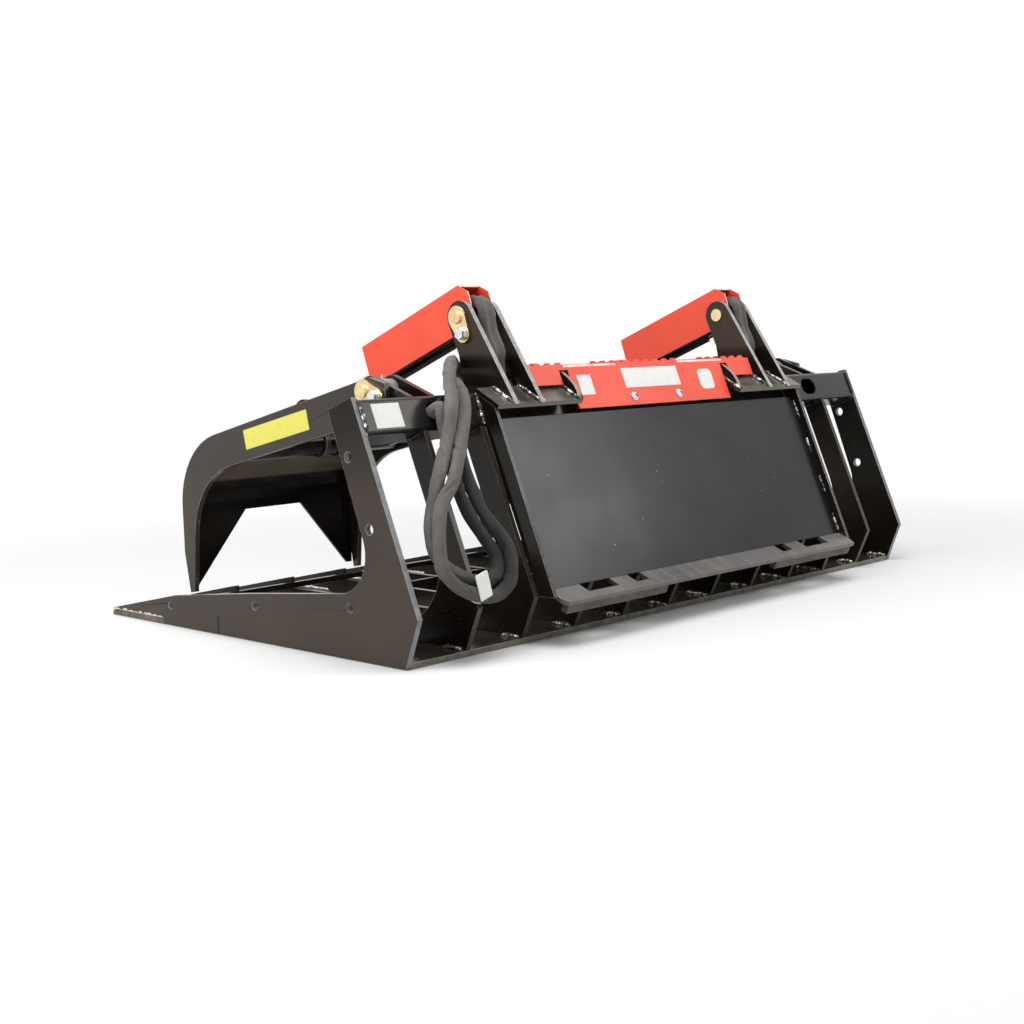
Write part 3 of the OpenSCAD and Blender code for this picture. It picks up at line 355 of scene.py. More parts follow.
# %% [markdown]
# ## Gloss black paint
# The plates are cut by a torch or laser and then dipped or sprayed gloss black. The flat faces are
# nearly black with a warm cast. The narrow cut edges, where the paint is thin and the cut left fine
# stripes, look tan, with a painted highlight on them, and the rounded corners get spots of painted
# highlight. The edges could be given a material of their own. A plate that lies in the Y-Z plane
# faces along X, though, so the part of the normal along X tells the flat faces from the cut edges
# with no faces to pick.

# %% Where the plates' paint changes
OUTER_FACE = 0.9085
BAR_REAR = -0.822
BAR_TOP = 0.0095
SCUFFED = (0.62, 0.55, 0.45)
DUST = (0.32, 0.29, 0.25)


def by_height(tree, low, high):
    """Rises from 0 at the low height to 1 at the high one, in metres."""
    return rising(tree, along_axis(tree, "Object", "Z"), low, high)


def outside(tree):
    """1 on the outer faces of the two side plates, 0 on everything nearer to the middle."""
    across = maths(tree, "ABSOLUTE", along_axis(tree, "Object", "X"))
    return maths(tree, "GREATER_THAN", across, OUTER_FACE)


def tip_scuff(tree):
    """1 in ragged spots along the low front edge of the outer faces, where the wear bar is welded on."""
    front = maths(tree, "LESS_THAN", along_axis(tree, "Object", "Y"), BAR_REAR)
    ragged = maths(tree, "ADD", product(tree, noise(tree, 70, 3), 0.016), BAR_TOP)
    low = maths(tree, "LESS_THAN", along_axis(tree, "Object", "Z"), ragged)
    spots = ramp(tree, noise(tree, 55, 4), [(0.35, 0.3), (0.5, 1.0)])
    return product(tree, front, low, spots, outside(tree))


def cut_edges(tree, colour, axis, base, edge_and_highlight_colour, corner):
    """The colour, with striped cut edges where the surface turns off the axis, their colour partly a
    painted highlight, and spots of painted highlight, like rubbed paint, where it has only begun to
    turn."""
    flat = flat_part(tree, axis, 0.12, 0.25)
    stripes = ramp(tree, noise(tree, 60, 3), [(0.3, 0.55), (0.7, 1.0)])
    # the edge colour is the cut's tan with a painted highlight in it
    edge = mix(tree, stripes, base, edge_and_highlight_colour)
    colour = mix(tree, flat, edge, colour)
    # the corner colour goes on in spots: a painted highlight on the rounded corners
    not_flat = maths(tree, "SUBTRACT", 1.0, flat_part(tree, axis, 0.955, 0.985))
    spots = ramp(tree, noise(tree, 26, 4), [(0.3, 0.35), (0.6, 1.0)])
    return mix(tree, product(tree, flat, not_flat, spots), colour, corner)


def dusty(tree, colour, dust):
    """The colour under fine specks everywhere, and a cloud of dust on what faces the sky."""
    specks = ramp(tree, noise(tree, 420, 2), [(0.68, 0.0), (0.74, 1.0)])
    colour = mix(tree, product(tree, specks, 0.25), colour, DUST)
    sky = rising(tree, along_axis(tree, "Normal", "Z"), 0.4, 0.95)
    cloud = ramp(tree, noise(tree, 14, 6), [(0.3, 0.2), (0.75, 1.0)])
    return mix(tree, product(tree, sky, cloud, dust), colour, DUST)


print("dust is", DUST)

# %% Black paint


def black_paint(name, edge_axis="X", edge_and_highlight_colour=(0.060, 0.051, 0.039), base=(0.0055, 0.0045, 0.0035),
                warm=(0.016, 0.0125, 0.0095), dust=0.10, painted_light_heights=None, painted_light_colour=None,
                outer_only=False, shine=0.25, corner=(0.20, 0.19, 0.18), under=None):
    """Gloss black with a warm cloud in it, tan cut edges with a painted highlight, spots of painted
    highlight on the corners, a little dust on top and a fine ripple. Two heights give a warm band of
    painted light: full from the first height outwards, and gone at the second, whichever is higher.
    Under is the colour of what faces down."""
    material, tree, shader = new_material(name)
    cloud = ramp(tree, noise(tree, 3.5, 5), [(0.35, 0.0), (0.7, 1.0)])
    colour = mix(tree, cloud, base, warm)
    if painted_light_heights:
        # painted light: a warm band over the black, lightening the faces it covers
        painted_light = maths(tree, "SUBTRACT", 1.0, by_height(tree, *painted_light_heights))
        # on the side plates only the outer faces get the painted light, since the inner faces stand in
        # shade
        if outer_only:
            painted_light = product(tree, painted_light, outside(tree))
        patch = ramp(tree, noise(tree, 4, 4), [(0.2, 0.72), (0.75, 1.0)])
        colour = mix(tree, product(tree, painted_light, patch), colour, painted_light_colour)
    if outer_only:
        colour = mix(tree, tip_scuff(tree), colour, SCUFFED)
    if under:
        low = rising(tree, along_axis(tree, "Normal", "Z"), -0.1, -0.35)
        colour = mix(tree, low, colour, under)
    if edge_axis:
        colour = cut_edges(tree, colour, edge_axis, base, edge_and_highlight_colour, corner)
    colour = dusty(tree, colour, dust)
    rough = ramp(tree, noise(tree, 9, 5), [(0.3, 0.14), (0.75, 0.28)])
    fill(tree, shader, {"Base Color": colour, "Roughness": rough, "Specular IOR Level": shine,
                        "Specular Tint": (1.0, 0.94, 0.88, 1)})
    bump(tree, shader, noise(tree, 150, 2), 0.12, 0.0006)
    return material


print("black paint ready")

# %% The black finishes
# The edge and corner colours below carry painted highlights, brightest on the side plates, ears, gussets
# and flanges; the side plates' bluish ones are painted reflections.
plate_black = black_paint("gloss_black_plate")
# Side plates: painted light on the lower outer faces, fading out higher up, so the tops stay darker.
side_black = black_paint("gloss_black_side", edge_and_highlight_colour=(0.25, 0.25, 0.26), painted_light_heights=(0.33, 0.47),
                         painted_light_colour=(0.052, 0.040, 0.0325), outer_only=True, shine=0.18,
                         corner=(0.40, 0.40, 0.41))
# The arms' black is a lighter copy of the plates' black: painted light on the arms.
hook_black_lit = black_paint("gloss_black_hook_lit", base=(0.020, 0.0165, 0.0130), warm=(0.040, 0.031, 0.0225),
                         shine=0.40)
# Ears: painted light makes their tops lighter.
ear_black = black_paint("gloss_black_ear", edge_and_highlight_colour=(0.52, 0.50, 0.48), painted_light_heights=(0.605, 0.588),
                        painted_light_colour=(0.050, 0.037, 0.028), corner=(0.60, 0.59, 0.58), shine=0.15)
gusset_black = black_paint("gloss_black_gusset", edge_and_highlight_colour=(0.40, 0.38, 0.36),
                           corner=(0.55, 0.54, 0.53))
flange_black = black_paint("gloss_black_flange", edge_and_highlight_colour=(0.12, 0.115, 0.11),
                           corner=(0.62, 0.61, 0.60))
bar_black = black_paint("gloss_black_bar", edge_axis=None, dust=0.16)
lip_black = black_paint("gloss_black_lip", edge_axis=None, dust=0.5, under=(0.14, 0.12, 0.092),
                        shine=0.40)
# Skirt: a light tan painted reflection of the floor on its upper inner panel.
skirt_black = black_paint("gloss_black_skirt", edge_axis=None, painted_light_heights=(0.309, 0.302),
                          painted_light_colour=(0.19, 0.155, 0.112))
tube_black = black_paint("gloss_black_tube", edge_axis=None, base=(0.009, 0.0085, 0.0085),
                         warm=(0.024, 0.023, 0.0225), dust=0.2, shine=0.40)
cross_black = black_paint("gloss_black_cross_plate", edge_axis="Z", edge_and_highlight_colour=(0.21, 0.190, 0.158),
                          dust=0.12, shine=0.35, corner=(0.30, 0.28, 0.25))
print("black paints", plate_black.name, cross_black.name)

# %% [markdown]
# ## Worn paint
# The coupler plate and its ledge rub against the loader, so their paint is dull, grey and streaked.
# Scratches could be drawn one by one. Noise that is drawn out up the plate gives soft streaks with far
# less work, and small Voronoi cells give the bright specks.

# %% Worn paint
WARM_TINT = (0.94, 0.88, 0.84)
PALE_END_REFLECTION = (0.165, 0.160, 0.157)
BRIGHT_SPECK = (0.45, 0.44, 0.43)


def worn_paint(name, base, light, gloss, shine, cut_and_highlight_colour, cut_from, cut_to, axis):
    """Dull paint under dust: cloudy grey with a warm patch, faint rubbed streaks, bright specks and a
    paler end at positive X, a painted reflection. Where the normal's part along an axis goes from
    cut_from to cut_to, the cut edge shows the colour given: on the coupler plate a painted highlight,
    on the ledge the edge's own brown."""
    material, tree, shader = new_material(name)
    warm = tuple(part * tint for part, tint in zip(light, WARM_TINT))
    colour = ramp(tree, noise(tree, 2.2, 7, 0.62), [(0.3, base), (0.55, warm), (0.75, light)])
    grime = ramp(tree, noise(tree, 26, 5), [(0.42, 0.0), (0.8, 1.0)])
    colour = mix(tree, product(tree, grime, 0.35), colour, base)
    streak = ramp(tree, noise(tree, 1.6, 6, stretch=(60, 1, 3)), [(0.48, 0.0), (0.8, 0.45)])
    colour = mix(tree, streak, colour, scaled(light, 1.6))
    # painted reflection: the paint grows paler towards positive X
    pale = rising(tree, along_axis(tree, "Object", "X"), 0.15, 0.55, 0.22)
    colour = mix(tree, pale, colour, PALE_END_REFLECTION)
    # the cut edge colour: a painted highlight on the coupler plate, the edge's own brown on the ledge
    patch = ramp(tree, noise(tree, 14, 4), [(0.3, 0.55), (0.6, 1.0)])
    cut = product(tree, flat_part(tree, axis, cut_from, cut_to), patch)
    colour = mix(tree, cut, colour, cut_and_highlight_colour)
    place = add(tree, "ShaderNodeTexCoord").outputs["Object"]
    cells = add(tree, "ShaderNodeTexVoronoi", {"Vector": place, "Scale": 34.0}).outputs["Distance"]
    speck = ramp(tree, cells, [(0.035, 1.0), (0.06, 0.0)])
    some = ramp(tree, noise(tree, 21, 2), [(0.55, 0.0), (0.6, 1.0)])
    colour = mix(tree, product(tree, speck, some), colour, BRIGHT_SPECK)
    rough = ramp(tree, noise(tree, 6, 6), [(0.3, gloss), (0.75, gloss + 0.16)])
    fill(tree, shader, {"Base Color": colour, "Roughness": rough, "Specular IOR Level": shine})
    bump(tree, shader, noise(tree, 90, 2), 0.06, 0.0004)
    return material


# The coupler plate's pale grey edge colour is a painted highlight.
coupler_grey = worn_paint("worn_coupler_plate", (0.0045, 0.0042, 0.0042), (0.0125, 0.0118, 0.0118),
                          0.17, 0.28, (0.34, 0.33, 0.32), 0.3, 0.5, "X")
ledge_grey = worn_paint("worn_ledge", (0.062, 0.060, 0.059), (0.165, 0.160, 0.158),
                        0.3, 0.40, (0.085, 0.068, 0.048), 0.45, 0.3, "Z")
print("worn paints", coupler_grey.name, ledge_grey.name)

# %% [markdown]
# ## Red paint
# The step cover and the cylinder guards are folded from thin sheet and sprayed orange red. A white
# line is painted along the sharp fold between the rows of teeth, where boots land: a painted highlight
# on the bend, in ragged spots like paint rubbed through. The guards' rear-facing edges get a painted
# pale pink highlight. The line could be a strip of its own, but a mask in Object coordinates puts it
# exactly on the fold.

# %% Red paints
FOLD_FRONT_TO_REAR = (-0.1295, -0.1275)
FOLD_LOW_TO_HIGH = (0.5675, 0.5695)
FOLD_INNER = 0.117
FOLD_OUTER = 0.300
FOLD_HIGHLIGHT_WHITE = (0.9, 0.86, 0.84)
PINK_HIGHLIGHT = (0.86, 0.70, 0.62)
RED_SPECK = (0.9, 0.5, 0.42)


def fold_highlight_and_wear(tree):
    """1 in ragged spots on the cover's upper fold, on both sides between the rows of teeth, where a
    white line is painted: a painted highlight on the bend that also stands for rubbed paint.
    """
    across = maths(tree, "ABSOLUTE", along_axis(tree, "Object", "X"))
    inner = maths(tree, "GREATER_THAN", across, FOLD_INNER)
    outer = maths(tree, "LESS_THAN", across, FOLD_OUTER)
    back = rising(tree, along_axis(tree, "Object", "Y"), *FOLD_FRONT_TO_REAR)
    height = rising(tree, along_axis(tree, "Object", "Z"), *FOLD_LOW_TO_HIGH)
    ragged = ramp(tree, noise(tree, 55, 3), [(0.3, 0.35), (0.5, 1.0)])
    return product(tree, inner, outer, back, height, ragged)


def red_paint(name, with_fold_highlight=False):
    """Semi-gloss orange red with faint clouds and dust specks. The cover adds its white fold line, a
    painted highlight that also stands for rubbed paint, and a guard a painted pale pink highlight on
    the faces that look to the rear."""
    material, tree, shader = new_material(name)
    cloud = ramp(tree, noise(tree, 5, 4), [(0.3, (0.80, 0.068, 0.030)), (0.7, (0.92, 0.092, 0.040))])
    specks = ramp(tree, noise(tree, 300, 2), [(0.70, 0.0), (0.75, 0.5)])
    colour = mix(tree, specks, cloud, RED_SPECK)
    if with_fold_highlight:
        # painted highlight along the fold, in ragged spots like rubbed paint
        colour = mix(tree, fold_highlight_and_wear(tree), colour, FOLD_HIGHLIGHT_WHITE)
    else:
        # painted highlight: pale pink on the faces that look to the rear
        rearward = rising(tree, along_axis(tree, "Normal", "Y"), 0.5, 0.65)
        colour = mix(tree, rearward, colour, PINK_HIGHLIGHT)
    rough = ramp(tree, noise(tree, 8, 4), [(0.3, 0.30), (0.7, 0.42)])
    fill(tree, shader, {"Base Color": colour, "Roughness": rough, "Specular IOR Level": 0.45})
    bump(tree, shader, noise(tree, 220, 2), 0.1, 0.0005)
    return material


guard_red = red_paint("red_guard")
cover_red = red_paint("red_cover", with_fold_highlight=True)
print("red paints", guard_red.name, cover_red.name)

# %% [markdown]
# ## Metals
# Pins are yellow zinc, whose thin passivated film shifts from straw to pink and green. Bolts and
# fittings are bright zinc, the rod is hard chrome, and the ledge's bars are left brown and rough. A
# film of zinc could be a coat layer, but a metal whose colour wanders shows the same patches.

# %% Metals
PLATING_GRAIN = 35
STRAW = (0.80, 0.60, 0.20)
PALE_STRAW = (0.84, 0.76, 0.36)
ZINC_PINK = (0.80, 0.52, 0.36)
ZINC_GREEN = (0.62, 0.70, 0.36)
BEAD_BLACK = (0.012, 0.011, 0.010)


def plated(name, colours, rough_low, rough_high):
    """Metal whose colour wanders through a ramp, with a slightly uneven gloss."""
    material, tree, shader = new_material(name)
    stops = [(0.3 + 0.4 * k / (len(colours) - 1), colour) for k, colour in enumerate(colours)]
    rough = ramp(tree, noise(tree, PLATING_GRAIN * 2, 4), [(0.3, rough_low), (0.7, rough_high)])
    fill(tree, shader, {"Base Color": ramp(tree, noise(tree, PLATING_GRAIN, 4), stops),
                        "Metallic": 1.0, "Roughness": rough})
    bump(tree, shader, noise(tree, PLATING_GRAIN * 9, 3), 0.12, 0.0004)
    return material


def dull_bar(name, low, high):
    """Brownish bar steel under thin paint, mottled and rough."""
    material, tree, shader = new_material(name)
    mottled = ramp(tree, noise(tree, 30, 8, 0.7), [(0.3, low), (0.7, high)])
    grain = ramp(tree, noise(tree, 220, 4), [(0.35, 0.6), (0.65, 1.0)])
    colour = mix(tree, grain, scaled(low, 0.6), mottled)
    fill(tree, shader, {"Base Color": colour, "Roughness": 0.5, "Metallic": 0.25})
    bump(tree, shader, noise(tree, 90, 8, 0.7), 0.5, 0.0012)
    return material


def weld_metal(name, start, metal):
    """Painted weld: black gloss over ripples, with bare patches where paint missed. A higher start
    leaves less bare metal."""
    material, tree, shader = new_material(name)
    bare = ramp(tree, noise(tree, 75, 5, 0.65), [(start, 0.0), (start + 0.07, 1.0)])
    colour = mix(tree, bare, BEAD_BLACK, metal)
    rough = ramp(tree, noise(tree, 130, 3), [(0.3, 0.12), (0.7, 0.34)])
    fill(tree, shader, {"Base Color": colour, "Metallic": bare, "Roughness": rough})
    bump(tree, shader, noise(tree, 500, 4), 0.6, 0.0008)
    return material


yellow_zinc = plated("yellow_zinc", [STRAW, PALE_STRAW, ZINC_PINK, ZINC_GREEN], 0.2, 0.34)
bright_zinc = plated("bright_zinc", [(0.62, 0.64, 0.67), (0.80, 0.80, 0.79)], 0.2, 0.36)
hard_chrome = plated("hard_chrome", [(0.76, 0.77, 0.79), (0.82, 0.82, 0.83)], 0.06, 0.12)
brown_bar = dull_bar("brown_bar", (0.034, 0.028, 0.020), (0.135, 0.112, 0.082))
tip_steel = dull_bar("tip_steel", (0.050, 0.043, 0.033), (0.19, 0.165, 0.13))
weld_bead = weld_metal("part_bare_weld", 0.50, (0.62, 0.60, 0.58))
painted_weld = weld_metal("painted_weld", 0.62, (0.42, 0.40, 0.38))
bare_weld = weld_metal("bare_weld", 0.45, (0.40, 0.37, 0.32))
scuffed_weld = weld_metal("scuffed_weld", 0.34, (0.72, 0.66, 0.57))
print("metals", yellow_zinc.name, bright_zinc.name, weld_bead.name)

# %% [markdown]
# ## Sleeve cloth and sticker vinyl
# The hoses wear a sleeve woven from nylon, and the stickers are soft glossy vinyl. Modelled threads
# would be far too many, so two wave textures cross at a slant. A weave follows its hose, so it reads the
# tube's own UV map instead of Object coordinates.

# %% Sleeve and stickers
THREAD_SLANT = math.radians(45)
THREADS = 190.0
RUN_BLACK = (0.009, 0.0085, 0.008)


def sleeve_cloth(name, dark, light, sheen, darker_below=None, dark_run=None):
    """Woven sleeve: two families of threads cross at a slant in the tube's UV map, under fuzz. Given two
    heights, the sleeve is darker towards the bottom, between them, and a dark run is a stretch of hose,
    in metres along it, where the sleeve is black."""
    material, tree, shader = new_material(name)
    place = add(tree, "ShaderNodeUVMap", uv_map="weave").outputs["UV"]
    threads = []
    for turn in (THREAD_SLANT, -THREAD_SLANT):
        turned = {"Vector": place, "Rotation": (0, 0, turn)}
        slanted = add(tree, "ShaderNodeMapping", turned).outputs["Vector"]
        bands = {"Vector": slanted, "Scale": THREADS, "Distortion": 0.6, "Detail": 1.0}
        threads.append(add(tree, "ShaderNodeTexWave", bands, wave_type="BANDS").outputs["Fac"])
    weave = product(tree, *threads)
    fade = ramp(tree, noise(tree, 22, 6, 0.65), [(0.3, dark), (0.7, light)])
    # darker towards the bottom, between the two heights
    if darker_below:
        fade = mix(tree, by_height(tree, *darker_below), scaled(light, 0.3), fade)
    if dark_run:
        start, end = dark_run
        along = add(tree, "ShaderNodeSeparateXYZ", {"Vector": place}).outputs["Y"]
        run = product(tree, rising(tree, along, start - 0.08, start), rising(tree, along, end, end - 0.03))
        fade = mix(tree, run, fade, RUN_BLACK)
    colour = mix(tree, ramp(tree, weave, [(0.0, 0.25), (0.5, 1.0)]), scaled(dark, 0.5), fade)
    fill(tree, shader, {"Base Color": colour, "Roughness": 0.78, "Specular IOR Level": 0.25,
                        "Sheen Weight": sheen, "Sheen Roughness": 0.5})
    bump(tree, shader, weave, 0.5, 0.0006)
    return material


def sticker(name, colour, dirt_colour, dirt=0.25):
    """Blank vinyl sticker with a soft gloss and a little dirt rubbed into it."""
    material, tree, shader = new_material(name)
    smear = ramp(tree, noise(tree, 40, 5, 0.65), [(0.5, 0.0), (0.75, dirt)])
    fill(tree, shader, {"Base Color": mix(tree, smear, colour, dirt_colour), "Roughness": 0.38})
    bump(tree, shader, noise(tree, 60, 2), 0.08, 0.0004)
    return material


sleeve_grey = sleeve_cloth("grey_sleeve", (0.135, 0.124, 0.117), (0.30, 0.276, 0.261), 0.06,
                           darker_below=(0.13, 0.40), dark_run=(0.91, 1.26))
cover_sleeve = sleeve_cloth("hose_cover_sleeve", (0.075, 0.069, 0.066), (0.20, 0.186, 0.178), 0.25)
white_sticker = sticker("white_sticker", (0.82, 0.82, 0.80), (0.50, 0.47, 0.43))
yellow_sticker = sticker("yellow_sticker", (0.68, 0.635, 0.105), (0.45, 0.40, 0.13))
print("sleeve and stickers", sleeve_grey.name, white_sticker.name)

# %% [markdown]
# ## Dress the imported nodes
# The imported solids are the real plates, so they stay. Each gets its finish, and a narrow bevel,
# because a real cut or sheared edge has a small radius that catches the light. The bevel could be
# modelled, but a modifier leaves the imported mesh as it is. A solid comes as loose triangles, so a weld
# modifier joins them first.

# %% Node finishes
FINISH = {
    "top_tube": tube_black, "rear_cross_plate": cross_black, "front_cross_bars": bar_black,
    "coupler_plate": coupler_grey, "coupler_ledge": ledge_grey, "ledge_bars": brown_bar,
    "tip_wear_bars": tip_steel, "coupler_lips": lip_black, "step_cover": cover_red, "guard": guard_red,
    "base_pins": yellow_zinc, "pivot_pins": yellow_zinc, "rod_pin": yellow_zinc,
    "base_pin_bolts": bright_zinc, "pivot_bolts": bright_zinc, "step_bolts": bright_zinc,
    "hose_tee_blocks": bright_zinc, "hose_couplers": bright_zinc, "gland": bright_zinc,
    "rod": hard_chrome, "piston": hard_chrome, "skirt": skirt_black, "arm_tube": bar_black,
    "barrel": bar_black, "cylinder_hoses": sleeve_grey, "supply_hose_1": sleeve_grey,
    "supply_hose_2": sleeve_grey, "hose_tie": white_sticker, "side_plate": side_black,
    "outer_hook": hook_black_lit, "inner_hook": hook_black_lit, "ears": ear_black,
    "lip_gussets": gusset_black, "pivot_straps": gusset_black, "coupler_flanges": flange_black,
}
NO_BEVEL = ("top_tube", "rod", "piston", "supply_hose_1", "supply_hose_2", "cylinder_hoses",
            "hose_tie")
BEVEL_WIDTH = {"step_cover": 0.6, "guard": 0.8, "front_cross_bars": 0.8, "ledge_bars": 1.6,
               "coupler_flanges": 1.3, "ears": 1.2, "side_plate": 0.5}
PLATE_BEVEL = 1.0
SHARP_EDGE = math.radians(32)
JOIN_GAP = 0.00001


def base_name(node):
    """The node's name without its side."""
    for side in ("left_", "right_"):
        if node.startswith(side):
            return node[len(side):]
    return node


def round_edges(piece, width):
    """Joins the loose triangles and rounds each edge sharper than 32 degrees to the width in mm."""
    weld = piece.modifiers.new("join", "WELD")
    weld.merge_threshold = JOIN_GAP
    bevel = piece.modifiers.new("round", "BEVEL")
    bevel.width = width * MM
    bevel.segments = 2
    bevel.limit_method = "ANGLE"
    bevel.angle_limit = SHARP_EDGE
    bevel.use_clamp_overlap = True


for node_name, node_object in nodes.items():
    kind = base_name(node_name)
    node_object.data.materials.clear()
    node_object.data.materials.append(FINISH.get(kind, plate_black))
    if kind not in NO_BEVEL:
        round_edges(node_object, BEVEL_WIDTH.get(kind, PLATE_BEVEL))
print("dressed", len(nodes), "nodes")

# %% [markdown]
# ## Where things are
# The uprights lean, so places on them are easiest in two numbers: how far up their rear line, and how
# far behind it. Each weld and sticker could be placed in plain coordinates, but the same two numbers
# as in the CAD keep them on its faces.

# %% Leaning coordinates
LEAN = math.radians(22.3)
KINK = np.array([39.0, 102.0])
TUBE_TOP = 456.0
SIDE_IN = 901.8
PLATE_T = 12.7
TINE_PITCH = 165.118


def rear(x, up, behind):
    """The point at X, up along the rear line and behind it, in metres from millimetres: kink + up
    times the line's direction + behind times the direction square to it."""
    y = KINK[0] - math.sin(LEAN) * up + math.cos(LEAN) * behind
    z = KINK[1] + math.cos(LEAN) * up + math.sin(LEAN) * behind
    return np.array([x, y, z]) * MM


print("tube's top rear corner", rear(0, TUBE_TOP, 0))

# %% [markdown]
# ## Weld beads
# A fillet weld is a row of overlapping ripples, about as wide as it is tall, that a hand lays along a
# corner in short stretches. Each bead here is a tube whose radius rises and falls once for each
# ripple, with a wandering width, half sunk in its corner. Tubes are simple to lay along any path.

# %% Bead maker
RIPPLE = 3.4
RIPPLE_RISE = 0.26
WIDTH_WANDER = 0.17
LINE_WANDER = 0.0006
WANDER_KNOTS = 16
BEAD_SIDES = 10
bead_random = np.random.default_rng(7)
beads = []


def bead(name, points, width=5.0, metal=weld_bead):
    """A rippled tube along a line in metres: radius = width/2 * (1 + ripple + slow wander) * taper,
    which draws the ends in. The line itself wanders by half a millimetre or so."""
    path, at = resample(np.asarray(points, float), RIPPLE * MM / 3)
    knots = np.linspace(0, at[-1], WANDER_KNOTS)
    slow = np.interp(at, knots, bead_random.normal(0, WIDTH_WANDER, WANDER_KNOTS)).clip(-0.35, 0.4)
    ripple = RIPPLE_RISE * np.abs(np.sin(np.pi * at / (RIPPLE * MM)))
    taper = np.clip(np.minimum(at, at[-1] - at) / (width * MM), 0.15, 1.0) ** 0.5
    shift = [np.interp(at, knots, bead_random.normal(0, LINE_WANDER, WANDER_KNOTS)) for _ in range(3)]
    radius = width * MM / 2 * (1 + ripple + slow) * taper
    rings = tube_points(path + np.stack(shift, -1), radius, BEAD_SIDES)
    beads.append(add_piece(name, grid_mesh(name, rings), "rack", metal))


print("a ripple is", RIPPLE, "mm long")

# %% Welds at the feet and the tube's ends
BOTH_SIDES = ((1, "left"), (-1, "right"))
FOOT_SLOPE = math.radians(28)
FOOT_T = 11.0
FOOT_WELDS = (("ear", (508.5, 521.2, 426.8, 439.5), 9.0, 5), ("gusset", (300.0, 309.5), 7.5, 4))
FACE_OFF = 1.5
TUBE_RIM = ((388, 1.6), (448, 1.6), (457.6, -9), (457.6, -67), (448, -77.8), (388, -77.8),
            (378.2, -67), (378.2, -9), (388, 1.6))


def foot_path(x):
    """The line that a foot plate's side makes with the sloping lip and the tube's top, at one X."""
    along = np.array([math.cos(FOOT_SLOPE), -math.sin(FOOT_SLOPE)])
    up = np.array([math.sin(FOOT_SLOPE), math.cos(FOOT_SLOPE)])
    foot = rear(0, TUBE_TOP, 0)[1:] / MM + 0.25
    top = foot + FOOT_T * up
    corners = (top + 72 * along, top + 3 * along, foot + [-2.0, 3.0])
    on_lip = [np.array([x, *corner]) * MM for corner in corners]
    return on_lip + [rear(x, TUBE_TOP + 1.5, behind) for behind in (-16, -64)]


for side, label in BOTH_SIDES:
    for part, faces, width, points in FOOT_WELDS:
        for k, x in enumerate(faces):
            off = -FACE_OFF if k % 2 == 0 else FACE_OFF
            bead(f"{label}_{part}_weld_{k + 1}", foot_path(side * (x + off))[:points], width)
    rim = [rear(side * (SIDE_IN - 2), up, behind) for up, behind in TUBE_RIM]
    bead(f"{label}_tube_end_weld", rim, 7.5, weld_bead if side > 0 else painted_weld)
print("foot and tube welds", len(beads))

# %% [markdown]
# ## Stitches
# A long seam pulls a plate out of shape as it cools, so the coupler's flanges and lips are held by
# short stitches, and each tine has a short bead at its foot, its upright and its wear bar. One long
# bead would be simpler to make, but the gaps between the stitches are easy to see.

# %% Stitches on the coupler
FLANGE_STITCHES = ((8, 60), (118, 165), (226, 270), (322, 378))
LIP_STITCHES = ((314, 352), (380, 424), (444, 504), (526, 560))
for side, label in BOTH_SIDES:
    for k, ends in enumerate(FLANGE_STITCHES, 1):
        bead(f"{label}_flange_stitch_{k}", [rear(side * 561, up, 25) for up in ends])
    bead(f"{label}_flange_tube_weld", [rear(side * 573, up, 2) for up in (384, 452)], 9.0)
    inner = [rear(side * 560.5, up, 2) for up in (388, 448)]
    bead(f"{label}_flange_inner_weld", inner, 6.5, painted_weld)
    for k, ends in enumerate(LIP_STITCHES, 1):
        bead(f"{label}_lip_weld_{k}", [rear(side * x, TUBE_TOP + 3.5, 0.5) for x in ends], 6.5)
print("beads so far", len(beads))

# %% Welds on the rack's base
PLATES = 12
for k in range(PLATES):
    x = -SIDE_IN - PLATE_T / 2 + k * TINE_PITCH
    face = x + PLATE_T / 2
    if k < PLATES - 1:
        start = bead_random.uniform(-6, 0)
        length = bead_random.uniform(48, 74)
        foot = [(face + 3, start, 13.5), (face + 3, start - length, 13.5)]
        bead(f"rib_foot_weld_{k + 1}", np.array(foot) * MM, 10.0, bare_weld)
    if 0 < k < PLATES - 1:
        bar_top = np.array([(face + 1, y, 14.5) for y in (-818, -900, -1024)]) * MM
        bead(f"tip_weld_{k + 1}", bar_top, 5.5, scuffed_weld)
        for way, letter in ((-1, "a"), (1, "b")):
            line = [rear(x + way * (PLATE_T / 2 + 1.5), 377.5, behind) for behind in (-52, -6)]
            bead(f"upright_weld_{k + 1}_{letter}", line, 5.0, painted_weld)
for side, label in BOTH_SIDES:
    x = side * (SIDE_IN + PLATE_T - 3.9)
    slot_rim = [(x, -602.6, 3), (x, -602.6, 42), (x, -611.4, 42), (x, -611.4, 3)]
    bead(f"{label}_bar_end_weld", np.array(slot_rim) * MM, 2.6, painted_weld)
print("beads in all", len(beads))

# %% [markdown]
# ## Blank stickers
# The cover, the tube and the near arm carry stickers, which stay blank here. A sticker is a disc in
# polar form whose rim is stretched to a rounded rectangle, with the thickness of vinyl. A flat plane
# would be less work, but it is open, and its edge would catch no light.

# %% Stickers
STICKER_T = 0.35
CORNER_POINTS = 7
RING_SCALE = np.array([0.05, 0.35, 0.7, 0.97, 1.0, 1.0, 0.05])
RING_LIFT = np.array([1, 1, 1, 1, 0.6, 0.0, 0.0])
REAR_UP = np.array([0, -math.sin(LEAN), math.cos(LEAN)])


